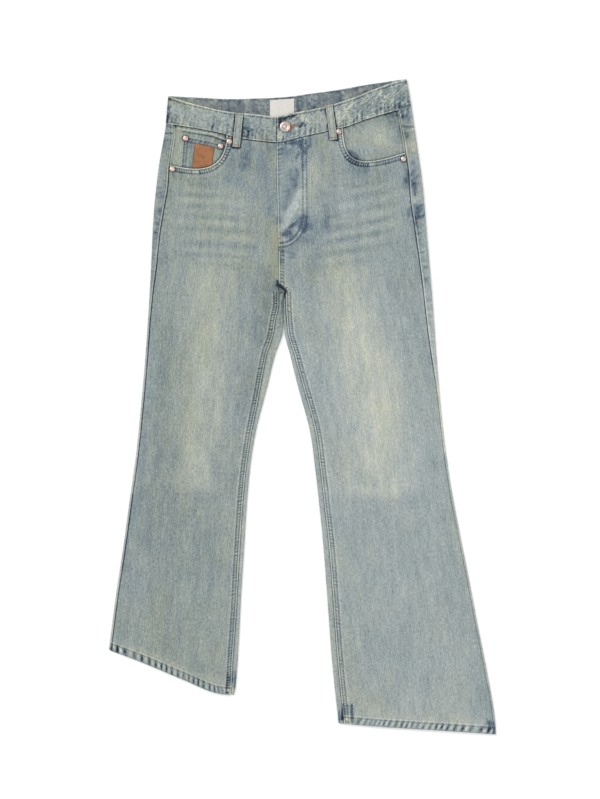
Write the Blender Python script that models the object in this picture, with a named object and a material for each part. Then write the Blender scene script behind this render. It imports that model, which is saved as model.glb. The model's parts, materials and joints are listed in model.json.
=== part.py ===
"""Bootcut jeans, laid out flat on their back with the front showing.

The waist points to +Y, the front faces +Z and the garment rests on z = 0. "right" and
"left" are the wearer's sides, so the right leg lies at -X. All tables and sizes are in
millimetres; a mesh is scaled to metres when it is made.
"""

import math

import bmesh
import bpy
import numpy as np
from mathutils import Vector
from mathutils.geometry import delaunay_2d_cdt

MM = 0.001

# ---- Driving dimensions, in millimetres ----------------------------------------------
GAP = 0.3                 # clearance between sewn pieces
WAIST_GAP = 0.5           # the same at the waistband's lower edge
DENIM = 1.4               # wall of one layer of washed denim
FACING = 1.0              # wall of the hip facing inside a pocket mouth
BAND_WALL = 2.4           # waistband, two layers folded
BAND_HEIGHT = 46.5
EDGE = 5.0                # height of a leg's folded edge, outside to outside
PUFF = 1.0                # how much the front swells between its edges
PUFF_REACH = 60.0         # distance over which it swells
SEAT_LIFT = 1.5           # the seat lies on its pockets and loops
SEAT_LIFT_ENDS = (94.0, 194.0)   # up the garment: where the lift starts and is full
HEM_WIDTH, HEM_RIDGE = 12.5, 0.8
FELL_WIDTH, FELL_RIDGE = 7.5, 0.7      # flat-felled inseam
MOUTH_WIDTH, MOUTH_RIDGE = 9.0, 0.9    # turned pocket mouth
SIDE_RIDGE = 0.5                       # side seam allowance, pressed to the back
RIDGE_STEP = 1.2                       # width of a ridge's sloping side
LOOP_WIDTH, LOOP_WALL = 12.0, 1.2
POCKET_WALL = 1.2                      # back pocket patch
COIN_WALL = 0.8
PATCH_WALL = 0.7
LABEL_WALL = 0.5
FLY_WALL = 0.8
BUTTON_RADIUS = 8.5
RIVET_RADIUS = 4.2
PANEL_SPACING = 21.0      # distance between a panel's inner points
EDGE_SPACING = 13.0       # distance between the points on its outline
CENTRE_BACK = -31.5
CROTCH_UP = 190.0

# +1 where the inseam lies towards +X of the side seam, -1 on the other leg
INWARD = {"right": 1.0, "left": -1.0}

# Folded outer edge of each half. Columns: up, across.
OUTER_EDGE = {
    "right": [(516, -223), (469, -227), (396, -239), (323, -247), (204, -253), (84, -261),
              (4, -268), (-75, -276), (-155, -287), (-235, -298), (-314, -310), (-404, -321.5)],
    "left": [(544.5, 173), (497, 181), (443, 189), (363, 200), (270, 208), (150, 218),
             (31, 227), (-49, 235), (-128, 246), (-208, 261), (-288, 277), (-367, 292),
             (-447, 308), (-521, 320), (-544.5, 321.5)],
}
# Folded inner edge of each leg. Columns: up, across.
INNER_EDGE = {
    "right": [(190, -32), (127, -33), (84, -46), (31, -59), (-22, -73), (-49, -79),
              (-102, -87), (-155, -92), (-235, -97), (-314, -102), (-394, -106),
              (-464, -111), (-479, -114)],
    "left": [(190, -31), (127, -30), (84, -20), (31, -7), (-22, 8), (-49, 14),
             (-102, 21), (-155, 27), (-235, 35), (-314, 41), (-421, 49), (-526, 60)],
}
# How far the side seam lies in from the folded edge. Columns: up, strip.
SIDE_STRIP = {
    "right": [(468, 12), (441, 16), (396, 17), (365, 19), (326, 16), (288, 12),
              (238, 9), (185, 5), (127, 3.4), (-404, 3.4)],
    "left": [(489, 22), (453, 21), (398, 20), (345, 22), (290, 18.5), (205, 14),
             (132, 11.5), (61, 6.5), (24, 4), (-20, 3.4), (-545, 3.4)],
}
# How far the inseam lies in from the folded edge. Columns: up, strip.
INSEAM_STRIP = {
    "right": [(190, 7.5), (169, 7.5), (142, 12.5), (116, 15), (51, 12.5), (-14, 8),
              (-75, 6.5), (-255, 7), (-321, 6.5), (-421, 8), (-479, 6)],
    "left": [(190, 3), (169, 3.2), (141, 4.5), (94, 7), (11, 9), (-122, 8.5),
             (-281, 9.5), (-526, 9)],
}
# Lower edge of each leg. Columns: across, up.
HEM = {
    "right": [(-321.5, -404), (-268, -424), (-201, -452), (-136, -477), (-114, -479)],
    "left": [(60, -526), (135, -532), (198, -536), (262, -540), (321.5, -544.5)],
}
# Waist seam and upper edge of the waistband's front, and the upper edge of its back.
# Columns: across, up.
WAIST_SEAM = [(-227, 470), (-194, 465), (-164, 460), (-135, 454), (-105, 446), (-76, 442),
              (-43, 439), (-1, 448), (43, 458), (73, 465), (103, 476), (132, 485),
              (181, 498)]
BAND_TOP_FRONT = [(-223, 516), (-194, 506), (-164, 498), (-120, 489), (-76, 485),
                  (-43, 481), (-16, 487), (14, 493), (39, 498), (58, 504), (88, 514),
                  (117, 526), (147, 537), (173, 544.5)]
BAND_TOP_BACK = [(-223, 516), (-164, 513), (-120, 511), (-76, 512), (-31, 514), (14, 520),
                 (58, 526), (103, 534), (173, 544.5)]
# Centre front seam, from the waist to the crotch. Columns: up, across.
CENTRE_FRONT = [(439, -43), (360, -42), (281, -40), (204, -39)]
# Control points of each pocket mouth, from the waist seam to the side seam.
MOUTH = {
    "right": [(-126, 443), (-132, 396), (-162, 386), (-222, 402)],
    "left": [(67, 464), (68, 404), (90, 394), (171, 422)],
}
FACING_OVERLAP = 12.0     # how far a facing runs on under the front
# The back yoke's seam. Columns: at the side, at the centre back.
YOKE_SEAM = {"right": (453, 390), "left": (464, 390)}
SIDE_AT_CROTCH = 218.0    # where the section through the crotch meets the outer edge
HEM_ENDS = {"right": (-404, -479), "left": (-544.5, -526)}   # outer edge, inner edge
# The fly's stitched front edge turns in to the centre front along a quarter ellipse.
FLY_WIDTH, FLY_BOTTOM, FLY_TURN = 48.0, 264.0, 58.0
# Soft folds of the front. Columns: from across, up, to across, up, half width, height.
FOLDS = [
    (-60, 225, -165, 285, 17, 0.7), (-70, 190, -190, 205, 18, 0.6),
    (-75, 150, -170, 110, 19, 0.6), (-15, 225, 95, 280, 17, 0.7),
    (0, 185, 130, 200, 18, 0.6), (20, 140, 130, 95, 19, 0.6),
    (-240, -90, -120, -60, 24, 0.6), (-260, -150, -130, -130, 26, -0.5),
    (50, -95, 200, -75, 24, 0.6), (70, -170, 225, -150, 28, -0.5),
    (-235, -300, -215, -400, 30, 0.5), (130, -360, 150, -480, 34, 0.5),
]
COIN_POCKET = {"top": [(-198, 450), (-128.5, 435.2)], "foot": -203.0}
PATCH = {"top": [(-179, 437), (-146, 431)], "feet": (-184.0, -149.5)}
LABEL = {"across": (-54, -14), "drop": 4.0, "height": 30.0}
FRONT_LOOPS = {"right": [(-104.5, 487), (-110, 431)], "left": [(44, 500.5), (51.5, 443)]}
BACK_LOOPS = {"right": -150.0, "centre": CENTRE_BACK, "left": 98.0}
# Back pockets. Columns: centre across; they share the shape below.
BACK_POCKETS = {"right": -138.0, "left": 78.0}
POCKET_SHAPE = [(-72, 372), (72, 372), (65, 244), (0, 222), (-65, 244)]
BUTTON_AT = (-29, 464)
RIVETS = {"coin_outer": (-194, 445.5), "coin_inner": (-136, 432.5),
          "mouth_right_side": (-216, 394.5), "mouth_right_waist": (-121.4, 440),
          "mouth_left_waist": (60.3, 456.5), "mouth_left_side": (167.5, 411)}

COLOURS = {
    "denim": ((0.33, 0.40, 0.40), 0.9, 0.0),
    "leather": ((0.38, 0.18, 0.08), 0.6, 0.0),
    "label": ((0.80, 0.78, 0.74), 0.8, 0.0),
    "metal": ((0.80, 0.62, 0.53), 0.35, 1.0),
}


# ---- Curves --------------------------------------------------------------------------
def smooth(rows, at):
    """The value at a place on a smooth curve through (place, value) rows, without overshoot."""
    place, value = np.array(sorted(rows), float).T
    step = np.diff(place)
    rise = np.diff(value) / step
    slope = np.empty(len(place))
    slope[0], slope[-1] = rise[0], rise[-1]
    for i in range(1, len(place) - 1):
        before, after = rise[i - 1], rise[i]
        slope[i] = 0.0
        if before * after > 0:
            slope[i] = 2 * before * after / (before + after)
    at = np.clip(np.asarray(at, float), place[0], place[-1])
    i = np.clip(np.searchsorted(place, at) - 1, 0, len(step) - 1)
    t = (at - place[i]) / step[i]
    return (value[i] * (1 + 2 * t) * (1 - t) ** 2 + value[i + 1] * t**2 * (3 - 2 * t)
            + step[i] * (slope[i] * t * (1 - t) ** 2 - slope[i + 1] * t**2 * (1 - t)))


def ramp(t):
    """0 below 0, 1 above 1, smooth between."""
    t = np.clip(t, 0.0, 1.0)
    return t * t * (3 - 2 * t)


def bezier(points, count):
    """count points along a cubic Bezier curve."""
    t = np.linspace(0, 1, count)[:, None]
    a, b, c, d = np.array(points, float)
    return a * (1 - t) ** 3 + 3 * b * t * (1 - t) ** 2 + 3 * c * t**2 * (1 - t) + d * t**3


def shifted(line, distance):
    """A line moved sideways: to its left where distance is positive."""
    along = np.gradient(line, axis=0)
    along /= np.linalg.norm(along, axis=1)[:, None]
    return line + distance * np.stack([-along[:, 1], along[:, 0]], axis=1)


def distance_to(points, line):
    """Each point's distance to a polyline."""
    best = np.full(len(points), np.inf)
    for start, end in zip(line[:-1], line[1:]):
        run = end - start
        t = np.clip(((points - start) @ run) / (run @ run), 0, 1)
        best = np.minimum(best, np.linalg.norm(points - start - t[:, None] * run, axis=1))
    return best


def inside(points, outline):
    """Which points lie inside a closed outline."""
    x, y = points.T
    found = np.zeros(len(points), bool)
    for (x0, y0), (x1, y1) in zip(outline, np.roll(outline, -1, axis=0)):
        if y0 != y1:
            crosses = (y0 > y) != (y1 > y)
            found ^= crosses & (x < (x1 - x0) * (y - y0) / (y1 - y0) + x0)
    return found


def stations(start, end, spacing, extra=()):
    """Places from start to end, evenly spaced, with some extra ones among them."""
    count = max(2, round(abs(end - start) / spacing) + 1)
    places = np.linspace(start, end, count)
    for place in extra:
        nearest = np.argmin(abs(places[1:-1] - place)) + 1
        places[nearest] = place
    return places


# ---- The garment's lines -------------------------------------------------------------
def side_seam(side, up):
    return smooth(OUTER_EDGE[side], up) + INWARD[side] * smooth(SIDE_STRIP[side], up)


def inseam(side, up):
    return smooth(INNER_EDGE[side], up) - INWARD[side] * smooth(INSEAM_STRIP[side], up)


def back_seam(across):
    return smooth(BAND_TOP_BACK, across) - BAND_HEIGHT


def yoke_rows(side):
    """(outer up, inner up) of each row across the yoke, from the waist to its lower seam."""
    low_side, low_centre = YOKE_SEAM[side]
    top_side = float(smooth(WAIST_SEAM, OUTER_EDGE[side][1][1]))
    top_centre = float(back_seam(CENTRE_BACK))
    shares = np.linspace(0, 1, 4)
    return [(top_side + (low_side - top_side) * share + GAP / 2 * (share == 1),
             top_centre + (low_centre - top_centre) * share + GAP / 2 * (share == 1))
            for share in shares]


def seat_rows(side):
    """(outer up, inner up, turned) of each row from the yoke seam to the crotch.

    turned leaves 0 where the cloth begins to turn up towards the inner edge.
    """
    top_side, top_centre = (up - GAP / 2 for up in YOKE_SEAM[side])
    shares = [*np.linspace(0, 0.94, 11), 0.965, 0.985, 0.995]
    return [(top_side + (SIDE_AT_CROTCH - top_side) * share,
             top_centre + (CROTCH_UP - top_centre) * share, max(0.0, 6 * (share - 0.95)))
            for share in shares]


def leg_rows(side):
    """(outer up, inner up, growth) of each row from the crotch to the hem.

    growth brings the strip along the inseam from nothing to its full width.
    """
    hem_side, hem_inner = HEM_ENDS[side]
    leg = CROTCH_UP - hem_inner
    shares = [0.0, 0.006, 0.014, 0.03, 0.055, 0.085, *np.linspace(0.12, 0.36, 8),
              *np.linspace(0.42, 0.95, 9),
              1 - (HEM_WIDTH + RIDGE_STEP) / leg, 1 - HEM_WIDTH / leg, 1.0]
    return [(SIDE_AT_CROTCH + (hem_side - SIDE_AT_CROTCH) * share,
             CROTCH_UP + (hem_inner - CROTCH_UP) * share, ramp(share / 0.006))
            for share in shares]


def row_ends(side, outer_up, inner_up, on_leg):
    """The ends of a row across the back: on the folded outer edge, and on the inner one."""
    inner = CENTRE_BACK - INWARD[side] * GAP / 2
    if on_leg:
        inner = float(smooth(INNER_EDGE[side], inner_up))
    return (np.array([float(smooth(OUTER_EDGE[side], outer_up)), outer_up]),
            np.array([inner, inner_up]))


def crossing(side, seam, start, end):
    """How far along a row, from its start, it crosses a seam."""
    along = (end - start) / np.linalg.norm(end - start)
    reach = 0.0
    for _ in range(8):
        reach = (float(seam(side, start[1] + reach * along[1])) - start[0]) / along[0]
    return reach


def side_line(side):
    """The front's side of the side seam: a point beside the end of each row of the back."""
    rows = [(*row[:2], False) for row in yoke_rows(side) + seat_rows(side)]
    rows += [(*row[:2], True) for row in leg_rows(side)]
    points = []
    for row in rows:
        start, end = row_ends(side, *row)
        reach = crossing(side, side_seam, start, end) + GAP / 2
        points.append(start + reach * (end - start) / np.linalg.norm(end - start))
    return np.array(points)


def inseam_line(side):
    """The front's side of the inseam, like side_line."""
    points = []
    for outer_up, inner_up, _ in leg_rows(side):
        end, start = row_ends(side, outer_up, inner_up, True)
        reach = crossing(side, inseam, start, end) + GAP / 2
        points.append(start + reach * (end - start) / np.linalg.norm(end - start))
    return np.array(points)


def stretch(line, start, end):
    """The points of a line that runs down the garment, from one place on it to another."""
    low, high = min(start, end), max(start, end)
    ends = np.interp([-high, -low], -line[:, 1], line[:, 0])
    between = line[(line[:, 1] > low + 0.6) & (line[:, 1] < high - 0.6)]
    run = np.vstack([(ends[0], high), between, (ends[1], low)])
    return run if start > end else run[::-1]


def across_at(line, up):
    return float(np.interp(-up, -line[:, 1], line[:, 0]))


# ---- Heights of the cloth ------------------------------------------------------------
def base(up):
    """Underside of the back: on the floor at the legs, lifted by the pockets at the seat."""
    low, high = SEAT_LIFT_ENDS
    return SEAT_LIFT * ramp((up - low) / (high - low))


def folds(across, up):
    """Soft folds pressed into the front."""
    points = np.stack([across, up], axis=1)
    height = np.zeros(len(points))
    for x0, y0, x1, y1, half_width, rise in FOLDS:
        away = distance_to(points, np.array([(x0, y0), (x1, y1)], float))
        height += rise * np.exp(-((away / half_width) ** 2))
    return height


def front_height(side, across, up):
    """Upper face of a front panel, without its seam ridges."""
    sign = INWARD[side]
    from_outer = sign * (across - smooth(OUTER_EDGE[side], up))
    from_inner = np.where(up < CROTCH_UP, sign * (smooth(INNER_EDGE[side], up) - across),
                          np.hypot(across - CENTRE_BACK, up - CROTCH_UP))
    swell = ramp((np.minimum(from_outer, from_inner) - EDGE / 2) / PUFF_REACH)
    return base(up) + EDGE + swell * (PUFF + folds(across, up))


def facing_height(side, across, up):
    """Upper face of a pocket facing: just under the front, and up to the seam at the side."""
    from_seam = INWARD[side] * (across - side_seam(side, up))
    clear_of_mouth = ramp((up - MOUTH[side][3][1] - 14) / 16)
    rise = 1.2 * ramp(1 - from_seam / 14) * clear_of_mouth
    return front_height(side, across, up) - DENIM - GAP + rise


def band_height(side, across):
    """Upper face of the front waistband. The buttoned left end stands over the right one."""
    from_side = INWARD[side] * (across - smooth(OUTER_EDGE[side], 490.0))
    from_centre = abs(across - CENTRE_FRONT[0][1])
    middle = 0.9 * ramp(from_side / PUFF_REACH)
    tab = 0.9 * ramp(1 - from_centre / 80) if side == "left" else 0.0
    return SEAT_LIFT + EDGE + 1.1 + middle + tab


# ---- Making solids -------------------------------------------------------------------
def material(name):
    """A plain finish for a sub-part."""
    if name in bpy.data.materials:
        return bpy.data.materials[name]
    colour, roughness, metallic = COLOURS[name]
    made = bpy.data.materials.new(name)
    made.use_nodes = True
    shader = made.node_tree.nodes["Principled BSDF"]
    shader.inputs["Base Color"].default_value = (*colour, 1.0)
    shader.inputs["Roughness"].default_value = roughness
    shader.inputs["Metallic"].default_value = metallic
    return made


def solid(name, vertices, faces, finish, sharp=35.0):
    """An object from vertices in millimetres, with its faces turned outwards."""
    mesh = bpy.data.meshes.new(name)
    mesh.from_pydata([Vector(v) * MM for v in vertices], [], faces)
    shape = bmesh.new()
    shape.from_mesh(mesh)
    bmesh.ops.recalc_face_normals(shape, faces=shape.faces)
    shape.to_mesh(mesh)
    shape.free()
    mesh.shade_smooth()
    mesh.set_sharp_from_angle(angle=math.radians(sharp))
    mesh.materials.append(material(finish))
    placed = bpy.data.objects.new(name, mesh)
    bpy.context.scene.collection.objects.link(placed)
    return placed


def triangles(outline, lines, spacing):
    """Points and triangles that fill an outline; its own points come first, in order."""
    low, high = outline.min(axis=0), outline.max(axis=0)
    rows = np.arange(low[1], high[1], spacing * 0.87)
    fill = np.array([(x + (i % 2) * spacing / 2, y) for i, y in enumerate(rows)
                     for x in np.arange(low[0], high[0], spacing)])
    kept = inside(fill, outline)
    loop = np.vstack([outline, outline[:1]])
    kept &= distance_to(fill, loop) > spacing * 0.55
    points, edges = [*map(tuple, outline)], []
    for line in lines:
        kept &= distance_to(fill, line) > spacing * 0.45
        clear = inside(line, outline)
        first = len(points)
        points += [tuple(p) for p in line[clear]]
        edges += [(i, i + 1) for i in range(first, len(points) - 1)]
    points += [tuple(p) for p in fill[kept]]
    border = list(range(len(outline)))
    edges += [(i, (i + 1) % len(outline)) for i in border]
    flat, _, faces, origins, _, _ = delaunay_2d_cdt(
        [Vector(p) for p in points], edges, [], 1, 1e-4)
    new_index = {old: new for new, olds in enumerate(origins) for old in olds}
    order = [new_index[i] for i in border]
    rest = [i for i in range(len(flat)) if i not in set(order)]
    renumber = {old: new for new, old in enumerate(order + rest)}
    placed = np.array([flat[i] for i in order + rest])
    return placed, [tuple(renumber[i] for i in face) for face in faces]


def plate(name, outline, upper, lower, finish, lines=(), spacing=PANEL_SPACING):
    """A cloth wall over an outline, between an upper and a lower height function.

    The lower face has only the outline's points and a few more, because it is plain.
    """
    top, top_faces = triangles(outline, lines, spacing)
    bottom, bottom_faces = triangles(outline, (), spacing * 1.5)
    count, border = len(top), len(outline)
    vertices = [(x, y, z) for (x, y), z in zip(top, upper(*top.T))]
    vertices += [(x, y, z) for (x, y), z in zip(bottom, lower(*bottom.T))]
    faces = list(top_faces)
    faces += [tuple(count + i for i in reversed(face)) for face in bottom_faces]
    for i in range(border):
        j = (i + 1) % border
        faces.append((i, count + i, count + j, j))
    return solid(name, vertices, faces, finish)


def shell(name, outer, inner, finish):
    """A wall between two grids of points with the same rows and columns."""
    rows, columns = outer.shape[:2]
    vertices = [*outer.reshape(-1, 3), *inner.reshape(-1, 3)]
    layer = rows * columns
    faces = []
    for i in range(rows - 1):
        for j in range(columns - 1):
            a, b = i * columns + j, (i + 1) * columns + j
            faces.append((a, a + 1, b + 1, b))
            faces.append((layer + a, layer + b, layer + b + 1, layer + a + 1))
    rim = [(i * columns) for i in range(rows)]
    rim += [(rows - 1) * columns + j for j in range(1, columns)]
    rim += [i * columns + columns - 1 for i in range(rows - 2, -1, -1)]
    rim += list(range(columns - 2, 0, -1))
    for a, b in zip(rim, rim[1:] + rim[:1]):
        faces.append((a, b, layer + b, layer + a))
    return solid(name, vertices, faces, finish)


def turned(name, profile, at, finish, steps):
    """A round piece from a (radius, height) profile, standing on a point."""
    shape = bmesh.new()
    line = [shape.verts.new((radius * MM, 0, height * MM)) for radius, height in profile]
    edges = [shape.edges.new(pair) for pair in zip(line, line[1:])]
    bmesh.ops.spin(shape, geom=line + edges, axis=(0, 0, 1), cent=(0, 0, 0),
                   angle=2 * math.pi, steps=steps, use_merge=True)
    bmesh.ops.remove_doubles(shape, verts=shape.verts, dist=1e-6)
    bmesh.ops.recalc_face_normals(shape, faces=shape.faces)
    mesh = bpy.data.meshes.new(name)
    shape.to_mesh(mesh)
    shape.free()
    mesh.shade_smooth()
    mesh.set_sharp_from_angle(angle=math.radians(35))
    mesh.materials.append(material(finish))
    placed = bpy.data.objects.new(name, mesh)
    placed.location = Vector(at) * MM
    bpy.context.scene.collection.objects.link(placed)
    return placed


# ---- Front panels --------------------------------------------------------------------
def centre_front_line(side, start, end):
    """The panel's edge at the centre front seam, between two places up the garment."""
    up = stations(start, end, EDGE_SPACING)
    across = smooth(CENTRE_FRONT, up) - INWARD[side] * GAP / 2
    return np.stack([across, up], axis=1)


def mouth_line(side, count=16):
    """The pocket mouth, ending exactly on the waist seam and the side seam."""
    line = bezier(MOUTH[side], count)
    line[0, 1] = smooth(WAIST_SEAM, line[0, 0]) - WAIST_GAP
    line[-1, 0] = across_at(side_line(side), line[-1, 1])
    return line


def front_lines(side):
    """The named edges of a front panel, each a line of points, in order round it."""
    sign = INWARD[side]
    mouth = mouth_line(side)
    start = float(smooth(CENTRE_FRONT, 439)) - sign * GAP / 2
    across = stations(start, mouth[0, 0], EDGE_SPACING)
    waist = np.stack([across, smooth(WAIST_SEAM, across) - WAIST_GAP], axis=1)
    at_side, at_inseam = side_line(side), inseam_line(side)
    edge = stretch(at_side, mouth[-1, 1], at_side[-1, 1])
    low_corner = at_inseam[-1, 0]
    leg = stretch(at_inseam, float(smooth(HEM[side], low_corner)), CROTCH_UP)
    leg[-1, 0] -= sign * GAP
    across = stations(edge[-1, 0], low_corner, EDGE_SPACING, [low_corner - sign * FELL_WIDTH])
    hem = np.stack([across, smooth(HEM[side], across)], axis=1)
    centre = centre_front_line(side, 204, smooth(WAIST_SEAM, start) - WAIST_GAP)
    return {"waist": waist, "mouth": mouth, "side": edge, "hem": hem, "inseam": leg,
            "centre": centre}


def joined(lines):
    """One closed outline from lines that follow each other."""
    points = np.vstack(lines)
    step = np.linalg.norm(points - np.roll(points, 1, axis=0), axis=1)
    return points[step > 0.5]


def front_panel(side):
    """A front leg panel, with ridges where its edges are turned or felled."""
    edges = front_lines(side)
    outline = joined(list(edges.values()))
    ridges = [(edges["hem"], HEM_WIDTH, HEM_RIDGE), (edges["inseam"], FELL_WIDTH, FELL_RIDGE),
              (edges["mouth"], MOUTH_WIDTH, MOUTH_RIDGE)]
    if side == "left":
        below_fly = edges["centre"][edges["centre"][:, 1] < FLY_BOTTOM - 10]
        ridges.append((below_fly, FELL_WIDTH, FELL_RIDGE))
    # Going round the right panel keeps the cloth on the left hand, and the left panel's on the right.
    turn = INWARD[side]
    lines = [shifted(line, turn * (width + step)) for line, width, _ in ridges
             for step in (0.0, RIDGE_STEP)]

    def upper(across, up):
        points = np.stack([across, up], axis=1)
        raised = np.zeros(len(points))
        for line, width, rise in ridges:
            away = distance_to(points, line)
            raised = np.maximum(raised, rise * ramp((width + RIDGE_STEP - away) / RIDGE_STEP))
        return front_height(side, across, up) + raised

    def lower(across, up):
        return front_height(side, across, up) - DENIM

    return plate(f"front_{side}", outline, upper, lower, "denim", lines)


# ---- Back panels and yokes -----------------------------------------------------------
def section(width, side_strip, inner_strip, wrap, wall, columns):
    """One section across the back: over the outer fold, along the floor, over the inner fold.

    Returns (distance from the outer edge, height) rows of its outer and inner face. wrap is
    1 where the cloth turns up round the leg, and 0 where it runs flat to the centre back.
    """
    radius = EDGE / 2
    path, normals = [], []
    ridge = SIDE_RIDGE * ramp((side_strip - 6) / 6)
    for share in (0.0, 0.4, 0.55):
        path.append((side_strip + (radius - side_strip) * share,
                     EDGE + (ridge if share < 0.5 else 0)))
        normals.append((0.0, -1.0, ridge if share < 0.5 else 0))
    for turn in np.linspace(90, 270, 5):
        c, s = math.cos(math.radians(turn)), math.sin(math.radians(turn))
        path.append((radius + radius * c, radius + radius * s))
        normals.append((-c, -s, 0))
    flat = 6.0 * (1 - wrap)      # what the inner fold takes where it is rolled out flat
    angle = math.pi * wrap
    reach = width - radius * math.sin(min(angle, math.pi / 2)) - flat - 0.3 * (1 - wrap)
    for share in np.linspace(0, 1, columns + 2)[1:-1]:
        path.append((radius + (reach - radius) * share, 0.0))
        normals.append((0.0, 1.0, 0))
    for share in np.linspace(0, 1, 5):
        s, c = math.sin(angle * share), math.cos(angle * share)
        path.append((reach + radius * s + flat * share, radius - radius * c))
        normals.append((-s, c, 0))
    end, tail = path[-1], max(inner_strip - radius, 0.3)
    along = (math.cos(angle), math.sin(angle))
    path.append((end[0] + along[0] * tail, end[1] + along[1] * tail))
    normals.append((-along[1], along[0], 0))
    outer = np.array(path)
    inner = np.array([(a + wall * n[0], h + (wall + n[2]) * n[1])
                      for (a, h), n in zip(path, normals)])
    return outer, inner


def placed_section(start, end, faces):
    """Section rows turned into points, along the line from the outer to the inner edge."""
    start, end = np.array(start, float), np.array(end, float)
    along = (end - start) / np.linalg.norm(end - start)
    made = []
    for face in faces:
        plan = start + face[:, :1] * along
        made.append(np.column_stack([plan, base(plan[:, 1]) + face[:, 1]]))
    return made


def back_row(side, outer_up, inner_up, turned=0.0, growth=0.0, on_leg=False, wall=DENIM,
             columns=3):
    """A row of points across a back panel or yoke."""
    start, end = row_ends(side, outer_up, inner_up, on_leg)
    side_strip = crossing(side, side_seam, start, end) - GAP / 2
    inner_strip = 0.0
    if on_leg:
        inner_strip = (crossing(side, inseam, end, start) - GAP / 2) * growth
    faces = section(math.dist(start, end), side_strip, inner_strip, turned, wall, columns)
    return placed_section(start, end, faces)


def back_panel(side):
    """A back leg panel from the yoke seam to the hem, turned up round both edges of the leg."""
    rows = [back_row(side, *row) for row in seat_rows(side)]
    legs = leg_rows(side)
    for i, (outer_up, inner_up, growth) in enumerate(legs):
        wall = DENIM + (HEM_RIDGE if i >= len(legs) - 2 else 0)
        rows.append(back_row(side, outer_up, inner_up, 1.0, growth, True, wall))
    outer, inner = (np.array([row[k] for row in rows]) for k in (0, 1))
    return shell(f"back_{side}", outer, inner, "denim")


def yoke(side):
    """The back yoke, between the waistband and the back panel, folded over at the side."""
    rows = [back_row(side, *row, columns=9) for row in yoke_rows(side)]
    for face in rows[0]:
        on_front = face[:, 2] > SEAT_LIFT + EDGE / 2
        face[:, 1] = np.where(on_front, smooth(WAIST_SEAM, face[:, 0]), back_seam(face[:, 0]))
        face[:, 1] -= WAIST_GAP
        face[0, 0] = across_at(side_line(side), face[0, 1]) - INWARD[side] * GAP
    outer, inner = (np.array([row[k] for row in rows]) for k in (0, 1))
    return shell(f"yoke_{side}", outer, inner, "denim")


# ---- Waistband -----------------------------------------------------------------------
def band_station(top, bottom, height, turn):
    """Four corners of the band's section: outer top, outer bottom, inner bottom, inner top.

    height is the outer face's, and turn the direction that face looks in, 90 for up.
    """
    c, s = math.cos(math.radians(turn)), math.sin(math.radians(turn))
    inward = np.array([-c, 0.0, -s]) * BAND_WALL
    corners = [np.array([top[0], top[1], height]), np.array([bottom[0], bottom[1], height])]
    return [corners[0], corners[1], corners[1] + inward, corners[0] + inward]


def waistband():
    """One folded strip: from the buttoned left end, round the back, to the right end."""
    rows = []
    for side, order in (("right", 1), ("left", -1)):
        sign = INWARD[side]
        corner_top = OUTER_EDGE[side][0][1]
        corner_bottom = OUTER_EDGE[side][1][1]
        radius = (float(band_height(side, corner_top)) - SEAT_LIFT) / 2
        centre = float(smooth(CENTRE_FRONT, 439)) - sign * 2 * GAP
        front, fold = [], []
        for share in np.linspace(0, 1, 15):
            x_top = centre + (corner_top + sign * radius - centre) * share
            x_bottom = centre + (corner_bottom + sign * radius - centre) * share
            top = (x_top, float(smooth(BAND_TOP_FRONT, x_top)))
            bottom = (x_bottom, float(smooth(WAIST_SEAM, x_bottom)))
            front.append(band_station(top, bottom, float(band_height(side, x_top)), 90))
        for turn in np.linspace(90, -90, 8)[1:-1]:
            c, s = math.cos(math.radians(turn)), math.sin(math.radians(turn))
            out = sign * radius * (1 - c)
            top = (corner_top + out, float(smooth(BAND_TOP_FRONT, corner_top + out)))
            bottom = (corner_bottom + out, float(smooth(WAIST_SEAM, corner_bottom + out)))
            height = SEAT_LIFT + radius + radius * s
            facing = turn if side == "left" else 180 - turn
            fold.append(band_station(top, bottom, height, facing))
        rows.append((front + fold)[::order])
    back = []
    right, left = OUTER_EDGE["right"], OUTER_EDGE["left"]
    radius = (float(band_height("right", right[0][1])) - SEAT_LIFT) / 2
    for share in np.linspace(0, 1, 22):
        x_top = right[0][1] + radius + (left[0][1] - right[0][1] - 2 * radius) * share
        x_bottom = right[1][1] + radius + (left[1][1] - right[1][1] - 2 * radius) * share
        top = (x_top, float(smooth(BAND_TOP_BACK, x_top)))
        bottom = (x_bottom, float(back_seam(x_bottom)))
        back.append(band_station(top, bottom, SEAT_LIFT, -90))
    stations_round = np.array([*rows[0], *back, *rows[1]])
    return shell("waistband", stations_round[:, :2], stations_round[:, [3, 2]], "denim")


# ---- Pieces that lie on others -------------------------------------------------------
def pocket_facing(side):
    """The hip piece that shows inside a pocket mouth, and runs on under the front."""
    sign = INWARD[side]
    hidden = shifted(bezier(MOUTH[side], 14), sign * FACING_OVERLAP)
    hidden = hidden[hidden[:, 1] < smooth(WAIST_SEAM, hidden[:, 0]) - 4]
    seam = side_line(side)
    hidden = hidden[sign * (hidden[:, 0] - side_seam(side, hidden[:, 1])) > 4]
    foot = MOUTH[side][3][1] - FACING_OVERLAP
    seam_up = float(smooth(WAIST_SEAM, seam[0, 0])) - WAIST_GAP
    at_side = stretch(seam, foot, seam_up)
    across = stations(at_side[-1, 0], hidden[0, 0], 10.0)
    waist = np.stack([across, smooth(WAIST_SEAM, across) - WAIST_GAP], axis=1)
    outline = joined([waist, hidden, at_side])

    def upper(across, up):
        return facing_height(side, across, up)

    def lower(across, up):
        return facing_height(side, across, up) - FACING

    return plate(f"pocket_facing_{side}", outline, upper, lower, "denim", spacing=13.0)


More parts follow.
